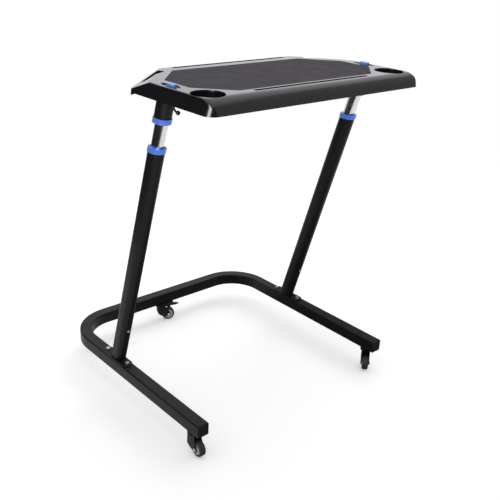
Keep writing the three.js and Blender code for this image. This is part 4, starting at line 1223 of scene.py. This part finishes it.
def desk_shell():
    """The moulded top with its pockets, slots, hand holes and bosses"""
    outside = shell_body(0, 0, DESK_RIM + TIP_DROOP)
    hollow = shell_body(SIDE_WALL, TOP_WALL, DESK_RIM + TIP_DROOP + OVERRUN)
    walls = []
    openings = []
    screw_top = SOCKET_SCREW[3] - GAP - SOCKET_SCREW[2] - DESK_RIM + 2 * GAP
    for _, sign in SIDES:
        cup = lambda growth: circle((sign * CUP_X, CUP_Y), CUP[0] + growth, WHEEL_SIDES)
        walls.append(prism(cup(CUP[2]), -DESK_RIM, OVERRUN))
        openings.append(pocket(cup, -CUP[1], CUP_RIM, CUP_FLOOR_ROUND))
        walls.append(moved(prism(oval(HAND[:2], HAND[2]), -DESK_RIM, OVERRUN), hand_place(sign)))
        openings.append(hand_hole(sign))
        for spot in screw_spots(sign):
            walls.append(prism(circle(spot, BOSS_RADIUS), PANEL_TOP + GAP, 0))
            openings.append(prism(circle(spot, SCREW_HOLE), -DESK_RIM, screw_top))
        recess = Vector((sign * BUTTON_X, BUTTON_Y + RECESS_SHIFT))
        openings.append(pocket(
            lambda growth: [p + recess for p in lens(RECESS[:2], growth)],
            -RECESS[2], RIM_ROUND / 2, RECESS[2] / 3))
        opening = sheared(prism(oval(BUTTON, BUTTON_GAP), -DESK_RIM, OVERRUN))
        openings.append(moved(opening, at(sign * BUTTON_X, BUTTON_Y, 0)))
    for y in SLOT_YS:
        outer = soft_box(SLOT[0] + 2 * SLOT_WALL, SLOT[1] + 2 * SLOT_WALL, SLOT_CORNER, 0, (0, y))
        walls.append(prism(outer, -SLOT[2] - SLOT_WALL, OVERRUN))
        openings.append(slot_cutter(y))
    openings.append(pocket(lambda growth: mat_outline(-MAT_GAP - growth), -MAT_DEPTH, RIM_ROUND / 2))
    filled = common(join(*walls), linked("part", outside.data.copy()))
    shell = cut(join(cut(outside, hollow), filled), *openings)
    return on_desk(shell, "desk_shell", "shell_plastic", "desktop")


def desk_panel():
    """The flat panel that closes the shell from below"""
    inside = shell_body(SIDE_WALL + SLIDE_GAP, TOP_WALL + SLIDE_GAP, DESK_RIM + TIP_DROOP + OVERRUN)
    low = -DESK_RIM - OVERRUN
    openings = []
    for _, sign in SIDES:
        cup = circle((sign * CUP_X, CUP_Y), CUP[0] + CUP[2] + SLIDE_GAP, WHEEL_SIDES)
        openings.append(prism(cup, low, 0))
        openings.append(moved(prism(oval(HAND[:2], HAND[2] + SLIDE_GAP), low, 0), hand_place(sign)))
        rod_hole = sheared(prism(circle((0, 0), ROD_HOLE), low, 0))
        openings.append(moved(rod_hole, at(sign * ROD_X, BUTTON_Y, 0)))
        openings += [prism(circle(spot, SCREW_HOLE), low, 0) for spot in screw_spots(sign)]
    panel = common(inside, prism(sharp_box(2 * WIDTH, 2 * WIDTH), PANEL_BOTTOM, PANEL_TOP))
    return on_desk(cut(panel, *openings), "desk_panel", "black_plastic", "desk_underpan")


def desk_mat():
    mat = bar(mat_outline, -MAT_DEPTH, MAT_THICKNESS - MAT_DEPTH, 0, MAT_EDGE)
    return on_desk(mat, "grip_mat", "mat_pad", "desk_mat")


# Height release

def release_button(sign):
    """A blue key with a crowned edge and a shallow finger dish, over its hidden flange"""
    skirt_top = -TOP_WALL - GAP
    flange = oval(BUTTON, BUTTON_REACH)
    rings = [level(flange, skirt_top - BUTTON_SKIRT), level(flange, skirt_top)]
    rings += [level(oval(BUTTON), skirt_top), *rim(solid_oval(BUTTON), BUTTON_RISE, BUTTON_CROWN)]
    inner = min(BUTTON) / 2 - BUTTON_CROWN
    for share in BUTTON_DISH_STEPS:
        dip = BUTTON_DISH * (1 - (1 - share) ** 2)
        rings += [level(oval(BUTTON, -BUTTON_CROWN - inner * share), BUTTON_RISE - dip)]
    return moved(sheared(loft(rings)), at(sign * BUTTON_X, BUTTON_Y, DESK_TOP))


def button_coil(name, sign):
    """The spring between the panel and the button's flange"""
    radius, wire, coils = SPRING
    room = -TOP_WALL - GAP - BUTTON_SKIRT - PANEL_TOP - 2 * GAP
    coil = moved(coil_at(radius, wire, room - 2 * wire, coils), at(0, 0, PANEL_TOP + wire + GAP))
    moved(sheared(coil), at(sign * ROD_X, BUTTON_Y, DESK_TOP))
    dressed(coil, f"button_coil_{name}", "desk", "zinc_steel", f"button_spring_{name}")
    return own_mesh(coil)


def shoe_coil(name, sign):
    """The small spring before the lock shoe, inside the leg"""
    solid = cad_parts[f"shoe_spring_{name}"]
    place = leg_place(sign)
    spots = [place.inverted() @ solid.matrix_world @ vertex.co for vertex in solid.data.vertices]
    near = max(spot.y for spot in spots)
    far = min(spot.y for spot in spots)
    height = (max(spot.z for spot in spots) + min(spot.z for spot in spots)) / 2
    radius, wire, coils = SHOE_SPRING
    coil = on_side(coil_at(radius, wire, near - far - 2 * wire, coils))
    moved(coil, place @ at(-sign * ROD_OFFSET, near - wire, height))
    dressed(coil, f"shoe_coil_{name}", "desk", "zinc_steel", f"shoe_spring_{name}")
    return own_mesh(coil)


# Under the desk

def socket_screws():
    seat = DESK_TOP - DESK_RIM - GAP
    spots = [(*spot, seat) for _, sign in SIDES for spot in screw_spots(sign)]
    nodes = [f"socket_screw_{side}_{end}" for side, _ in SIDES for end in ("front", "back")]
    screw = moved(pan_screw(SOCKET_SCREW), turn(math.pi, "X"))
    return fastened("socket_screws", "desk", screw, spots, nodes, Seed=9)


def curve_points(start, corner, end, steps):
    """A smooth bend from the start towards the corner and on to the end"""
    start, corner, end = Vector(start), Vector(corner), Vector(end)
    shares = [i / steps for i in range(steps + 1)]
    return [start * (1 - t) ** 2 + corner * (2 * t * (1 - t)) + end * (t * t) for t in shares]


def towel_hook(name, sign):
    """A bent wire with a ball on its end"""
    end = (0, -HOOK_REACH, -HOOK_DROP)
    bend = curve_points((0, 0, -GAP), (0, 0, -HOOK_DROP), end, HOOK_STEPS)
    hook = round_wire.on(line_of(bend), "black_plastic", Wire_radius=HOOK_WIRE)
    turns = [math.pi * (i + 0.25) / (ROUND_SIDES / 2) - math.pi / 2 for i in range(ROUND_SIDES // 2)]
    ball = on_side(stack([(HOOK_BALL * math.cos(t), HOOK_BALL * math.sin(t)) for t in turns]))
    join(hook, moved(ball, at(*end)))
    moved(hook, at(sign * LEG_X, SOCKET_Y - HOOK_SETBACK, DESK_TOP - DESK_RIM))
    return dressed(hook, f"hook_{name}", "desk", "black_plastic", f"towel_hook_{name}")


# Casters, made at their pivot with zero on the floor and the wheel trailing along +X

def fork_side(inset):
    """The side of the fork: upright in front, drawn in to the axle, moved inwards by the inset"""
    lead = inset - FORK_RADIUS
    low = FORK_TOP - FORK_LEAD_DROP
    nose_low = WHEEL_RADIUS - FORK_NOSE
    edge = curve_points((lead, low), (lead, nose_low), (TRAIL, nose_low + inset), OVAL_STEPS)
    nose = arc((TRAIL, WHEEL_RADIUS), FORK_NOSE - inset, -math.pi / 2, math.pi / 4, RIM_STEPS * 2)
    back = FORK_RADIUS - inset
    return [(lead, FORK_TOP - inset), *edge[:-1], *nose,
            (back, WHEEL_RADIUS + FORK_NOSE_RISE + FORK_NOSE), (back, FORK_TOP - inset)]


def round_lead(radius):
    """Round before the pivot and straight behind it"""
    far = 2 * FORK_RADIUS + TRAIL
    lead = arc((0, 0), radius, math.pi / 2, 3 * math.pi / 2, ROUND_SIDES)
    return prism([*lead, (far, -radius), (far, radius)], 0, FORK_TOP)


def caster_fork(pin_hole):
    outside = common(across(fork_side(0), FORK_INSIDE + 2 * FORK_WALL), round_lead(FORK_RADIUS))
    top = stack([(FORK_RADIUS, FORK_TOP - FORK_HOUSING), (FORK_RADIUS, FORK_TOP)], WHEEL_SIDES)
    behind = sharp_box(TRAIL, FORK_TOP - WHEEL_RADIUS, (TRAIL, (FORK_TOP + WHEEL_RADIUS) / 2))
    inside = join(
        common(across(fork_side(FORK_WALL), FORK_INSIDE), round_lead(FORK_RADIUS - FORK_WALL)),
        across(behind, FORK_INSIDE),
        across(circle((TRAIL, WHEEL_RADIUS), WHEEL_RADIUS + FORK_WALL, WHEEL_SIDES), FORK_INSIDE))
    cut(inside, prism(sharp_box(2 * WIDTH, 2 * WIDTH), FORK_TOP - FORK_ROOF, FORK_TOP + OVERRUN))
    tools = [
        inside, prism(circle((0, 0), KINGPIN[0] + GAP), 0, FORK_TOP + OVERRUN),
        across(circle((TRAIL, WHEEL_RADIUS), AXLE_RADIUS + GAP), TUBE)]
    if pin_hole:
        tools.append(across(circle(PEDAL_HINGE, PEDAL_PIN[0] + GAP), TUBE))
    return edged(cut(join(outside, top), *tools), FORK_EDGE)


def caster_mount(with_plate):
    """The fixed race with its stem and kingpin, on a plate at the rear"""
    race_radius, race_thickness = RACE
    if with_plate:
        race_radius -= GAP
    low = CASTER_HEIGHT - race_thickness
    middle = CASTER_HEIGHT - race_thickness / 2
    soft = race_thickness / 6
    groove = race_radius - RACE_GROOVE
    race = stack([
        (groove, low + soft), (groove + soft, low), (race_radius - soft, low), (race_radius, low + soft),
        (race_radius, CASTER_HEIGHT - soft), (race_radius - soft, CASTER_HEIGHT)], WHEEL_SIDES)
    radius, stem_top = STEM[0], CASTER_HEIGHT + STEM[1]
    stem = stack([(radius, middle), (radius, stem_top - soft * 2), (radius - soft * 2, stem_top)])
    radius, head, thickness = KINGPIN
    head_top = FORK_TOP - FORK_ROOF - GAP
    head_low = head_top - thickness
    kingpin = stack([
        (head - soft, head_low), (head, head_low + soft), (head, head_top - soft), (head - soft, head_top),
        (radius, head_top), (radius, middle)])
    body = join(race, stem, kingpin)
    if not with_plate:
        return body
    length, width = REAR_PLATE
    plate = lambda inset: soft_box(length, width, TUBE_CORNER, inset, (0, (TUBE - width) / 2))
    return join(body, bar(plate, low, CASTER_HEIGHT, soft, soft))


def caster_tyre():
    half = WHEEL_WIDTH / 2
    inner = HUB_RADIUS + GAP
    shoulder = WHEEL_RADIUS - TYRE_ROUND
    profile = [(inner, -half)]
    profile += arc((shoulder, TYRE_ROUND - half), TYRE_ROUND, -math.pi / 2, 0, 2 * RIM_STEPS)
    profile += arc((shoulder, half - TYRE_ROUND), TYRE_ROUND, 0, math.pi / 2, 2 * RIM_STEPS)
    return turned([*profile, (inner, half)])


def caster_hub():
    half = WHEEL_WIDTH / 2
    soft = HUB_RIM / 6
    lip = HUB_RADIUS - HUB_RIM
    face = [
        (AXLE_RADIUS + GAP, half), (HUB_BOSS - soft, half), (HUB_BOSS, half - soft),
        (HUB_BOSS + HUB_DISH / 2, half - HUB_DISH), (lip - HUB_DISH / 2, half - HUB_DISH),
        (lip, half - soft), (lip + soft, half), (HUB_RADIUS - soft, half), (HUB_RADIUS, half - soft)]
    return turned([(r, -z) for r, z in face] + face[::-1])


def caster_axle():
    pin = on_side(stack([(AXLE_RADIUS, -AXLE_SEAT - GAP), (AXLE_RADIUS, AXLE_SEAT + GAP)]))
    sides = [turn(end * math.pi / 2, "X") @ at(0, 0, AXLE_SEAT) for end in (-1, 1)]
    return join(pin, *[moved(hex_head(*AXLE_HEAD), side) for side in sides])


def brake_pedal():
    """A tapered pedal with a hole, a knuckle round its pin and the pad that meets the tyre"""
    length, width, thickness = PEDAL
    start, end, middle = PEDAL_HINGE[0], PEDAL_HINGE[0] + length, PEDAL_HINGE[0] + length / 2
    top = PEDAL_HINGE[1] + PEDAL_KNUCKLE
    half, tip_half = width / 2, PEDAL_TIP / 2
    tip = end - tip_half
    arm = across([
        (start, top - thickness), (end, top - thickness + PEDAL_RISE), (end, top + PEDAL_RISE), (start, top)],
        width)
    plan = prism([
        (start, -half), (middle, -half), (tip, -tip_half - thickness / 2),
        *arc((tip, 0), tip_half, -math.pi / 2, math.pi / 2, OVAL_STEPS),
        (tip, tip_half + thickness / 2), (middle, half), (start, half)], 0, CASTER_HEIGHT)
    knuckle = across(circle(PEDAL_HINGE, PEDAL_KNUCKLE), width)
    pad_start, pad_length, pad_gap = PEDAL_PAD
    pad_plan = soft_box(
        pad_length, width - thickness, thickness / 3, 0, (pad_start + pad_length / 2, 0), steps=2)
    pad = prism(pad_plan, 2 * WHEEL_RADIUS + pad_gap, top - thickness / 2)
    tools = [
        across(circle(PEDAL_HINGE, PEDAL_PIN[0] + GAP), TUBE),
        prism(circle((end - PEDAL_HOLE[1], 0), PEDAL_HOLE[0]), 0, CASTER_HEIGHT)]
    return edged(cut(join(knuckle, common(arm, plan), pad), *tools), PEDAL_EDGE)


def brake_pin():
    radius, head = PEDAL_PIN
    soft, seat, end = radius / 4, AXLE_SEAT, AXLE_SEAT + radius / 2
    pin = stack([
        (head - soft, -end), (head, soft - end), (head, -seat), (radius, -seat),
        (radius, seat), (head, seat), (head, end - soft), (head - soft, end)])
    return moved(on_side(pin), at(PEDAL_HINGE[0], 0, PEDAL_HINGE[1]))


def caster(name, x, y, trail):
    braked = name == "rear"
    pivot = at(x, y, 0)
    swivel = pivot @ turn(math.radians(trail), "Z")
    wheel = swivel @ at(TRAIL, 0, WHEEL_RADIUS)
    swivel_body, wheel_body = f"swivel_{name}", f"wheel_{name}"
    for piece, place, label, body, slot, node in (
            (caster_mount(braked), pivot, "race", "base", "black_paint", "caster_mount"),
            (caster_fork(braked), swivel, "fork", swivel_body, "black_plastic", "caster_fork"),
            (caster_hub(), wheel, "hub", wheel_body, "hub_grey", "caster_hub"),
            (caster_tyre(), wheel, "tyre", wheel_body, "tyre_black", "caster_tyre"),
            (caster_axle(), wheel, "axle", swivel_body, "zinc_steel", "caster_axle")):
        dressed(moved(piece, place), f"{label}_{name}", body, slot, f"{node}_{name}")
    if braked:
        dressed(moved(brake_pedal(), swivel), "pedal_rear", "pedal", "black_plastic", "brake_pedal")
        dressed(moved(brake_pin(), swivel), "pedal_pin", swivel_body, "zinc_steel", "brake_pin")


# What both sides have: the maker, the piece's name, the solid's name, the body and the finish
PAIRS = (
    (end_cap, "end_cap", "arm_end_cap", "base", "black_plastic"),
    (foot_plate, "foot", "foot_plate", "base", "black_paint"),
    (outer_tube, "lower_leg", "outer_tube", "base", "black_paint"),
    (lower_collar, "collar_low", "lower_collar", "base", "blue_plastic"),
    (upper_collar, "collar_high", "upper_collar", "desk", "blue_plastic"),
    (upper_socket, "socket", "upper_socket", "desk", "black_plastic"),
    (inner_tube, "chrome_tube", "inner_tube", "desk", "bright_chrome"),
    (release_button, "button", "release_button", "release", "button_blue"),
)
base_tube()
for side, sign in SIDES:
    for maker, label, node, body, slot in PAIRS:
        rides = f"release_{side}" if body == "release" else body
        dressed(maker(sign), f"{label}_{side}", rides, slot, f"{node}_{side}")
    button_coil(side, sign)
    shoe_coil(side, sign)
    towel_hook(side, sign)
for maker in (foot_bolts, leg_screws, socket_screws, desk_shell, desk_panel, desk_mat):
    maker()
for placed in CASTERS:
    caster(*placed)

# The hidden pieces of the height release keep their solids, with a finish of their own
HIDDEN = {"release_rod": "zinc_steel", "lock_shoe": "zinc_steel", "glide_block": "black_plastic"}
for part, slot in HIDDEN.items():
    for side, _ in SIDES:
        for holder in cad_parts[f"{part}_{side}"].material_slots:
            holder.material = finishes[slot]


# Camera, floor and light

def set_camera():
    right = CAMERA_RIGHT.normalized()
    back = right.cross(CAMERA_UP).normalized()
    camera = linked("camera", bpy.data.cameras.new("camera"))
    turned_to = Matrix((right, back.cross(right), back)).transposed().to_4x4()
    camera.matrix_world = Matrix.Translation(CAMERA_PLACE) @ turned_to
    camera.data.sensor_width = SENSOR_WIDTH
    camera.data.lens = FOCAL_PIXELS / IMAGE_WIDTH * SENSOR_WIDTH
    camera.data.clip_end = 100
    bpy.context.scene.camera = camera


def seen_by_eye_or_gloss(tree):
    """One for camera, glossy and transmission rays, nought for the light that falls on matt surfaces"""
    path = tree.node("ShaderNodeLightPath").outputs
    rays = [Number(tree, path[f"Is {kind} Ray"]) for kind in ("Camera", "Glossy", "Transmission")]
    return (rays[0] + rays[1] + rays[2]).above(0.5, 0.5)


def floor_finish():
    """A pale floor that keeps the shadow near the object and runs out into the white background"""
    pale = Tree(bpy.data.materials.new("pale_floor"))
    lit = pale.node("ShaderNodeBsdfDiffuse", {"Color": FLOOR_GREY})
    lift = pale.glow(WHITE, seen_by_eye_or_gloss(pale) * FLOOR_LIFT)
    near = pale.node("ShaderNodeAddShader", {0: lit.outputs[0], 1: lift})
    place = pale.node("ShaderNodeTexCoord").outputs["Object"]
    reach = pale.number("ShaderNodeVectorMath", "Value", {0: place}, operation="LENGTH")
    out = reach.above(sum(FLOOR_FADE) / 2, FLOOR_FADE[1] - FLOOR_FADE[0])
    both = pale.node("ShaderNodeMixShader", {0: out, 1: near.outputs[0], 2: pale.glow(WHITE, 1.0)})
    pale.node("ShaderNodeOutputMaterial", {"Surface": both.outputs[0]})
    return pale.owner


def set_floor():
    floor = prism(circle((0, 0), FLOOR_RADIUS, WHEEL_SIDES), -FLOOR_THICKNESS, -GAP)
    floor.name = "floor"
    floor.data.materials.append(floor_finish())


def set_world():
    """White to the eye and in reflections, and a softer fill on matt surfaces"""
    sky = Tree(bpy.data.worlds.new("studio"))
    strength = seen_by_eye_or_gloss(sky) * (WORLD_SEEN - WORLD_FILL) + WORLD_FILL
    back = sky.node("ShaderNodeBackground", {"Color": WHITE, "Strength": strength})
    sky.node("ShaderNodeOutputWorld", {"Surface": back.outputs[0]})
    bpy.context.scene.world = sky.owner


def softbox(name, place, size, power):
    lamp = bpy.data.lights.new(name, "AREA")
    lamp.size = size
    lamp.energy = power
    holder = linked(name, lamp)
    holder.location = place
    holder.rotation_euler = (Vector(LAMPS_AIM) - Vector(place)).to_track_quat("-Z", "Y").to_euler()
    holder.visible_camera = False
    holder.visible_glossy = False


def bent_card(start, end, radius):
    """The plan of a card that is bent round the object between two bearings in degrees from +X"""
    start, end = math.radians(start), math.radians(end)
    inner = arc((0, 0), radius, start, end, ROUND_SIDES)
    return inner + arc((0, 0), radius + SCREEN_THICKNESS, end, start, ROUND_SIDES)


def screen(name, plan, heights, brightness):
    """A studio screen that only reflections see, between a lowest and a highest edge"""
    body = prism(plan, *heights)
    body.name = name
    felt = Tree(bpy.data.materials.new(name))
    felt.node("ShaderNodeOutputMaterial", {"Surface": felt.glow(SCREEN_WHITE, brightness)})
    body.data.materials.append(felt.owner)
    for ray in ("camera", "diffuse", "shadow", "transmission"):
        setattr(body, f"visible_{ray}", False)


bpy.context.scene.view_settings.view_transform = "Standard"
set_camera()
set_floor()
set_world()
softbox("overhead", (0.3, 0.6, 4.6), 4.0, 40)
softbox("side", (2.7, 0.7, 3.2), 2.0, 20)
screen("flag_left", bent_card(106, 262, 1.45), (0.0, 2.2), 0.02)
screen("strip_left", bent_card(202, 216, 1.3), (0.72, 2.2), 15.0)
screen("strip_left_skirt", bent_card(197, 221, 1.33), (0.72, 2.2), 4.0)
screen("flag_right", bent_card(6, 38, 1.24), (0.3, 0.95), 0.03)
screen("flag_front", bent_card(-80, 4, 3.2), (0.0, 5.0), 0.5)
# A grey disc just above the floor, seen only in reflections: painted shade standing in for the shadowed floor
# under the desk
screen("flag_floor", circle((0.15, -0.25), 0.55), (GAP, 3 * GAP), 0.15)
screen("strip_back", bent_card(28, 76, 3.4), (1.1, 2.6), 1.35)
screen("kicker_left", bent_card(106, 126, 0.8), (0.63, 0.85), 0.6)
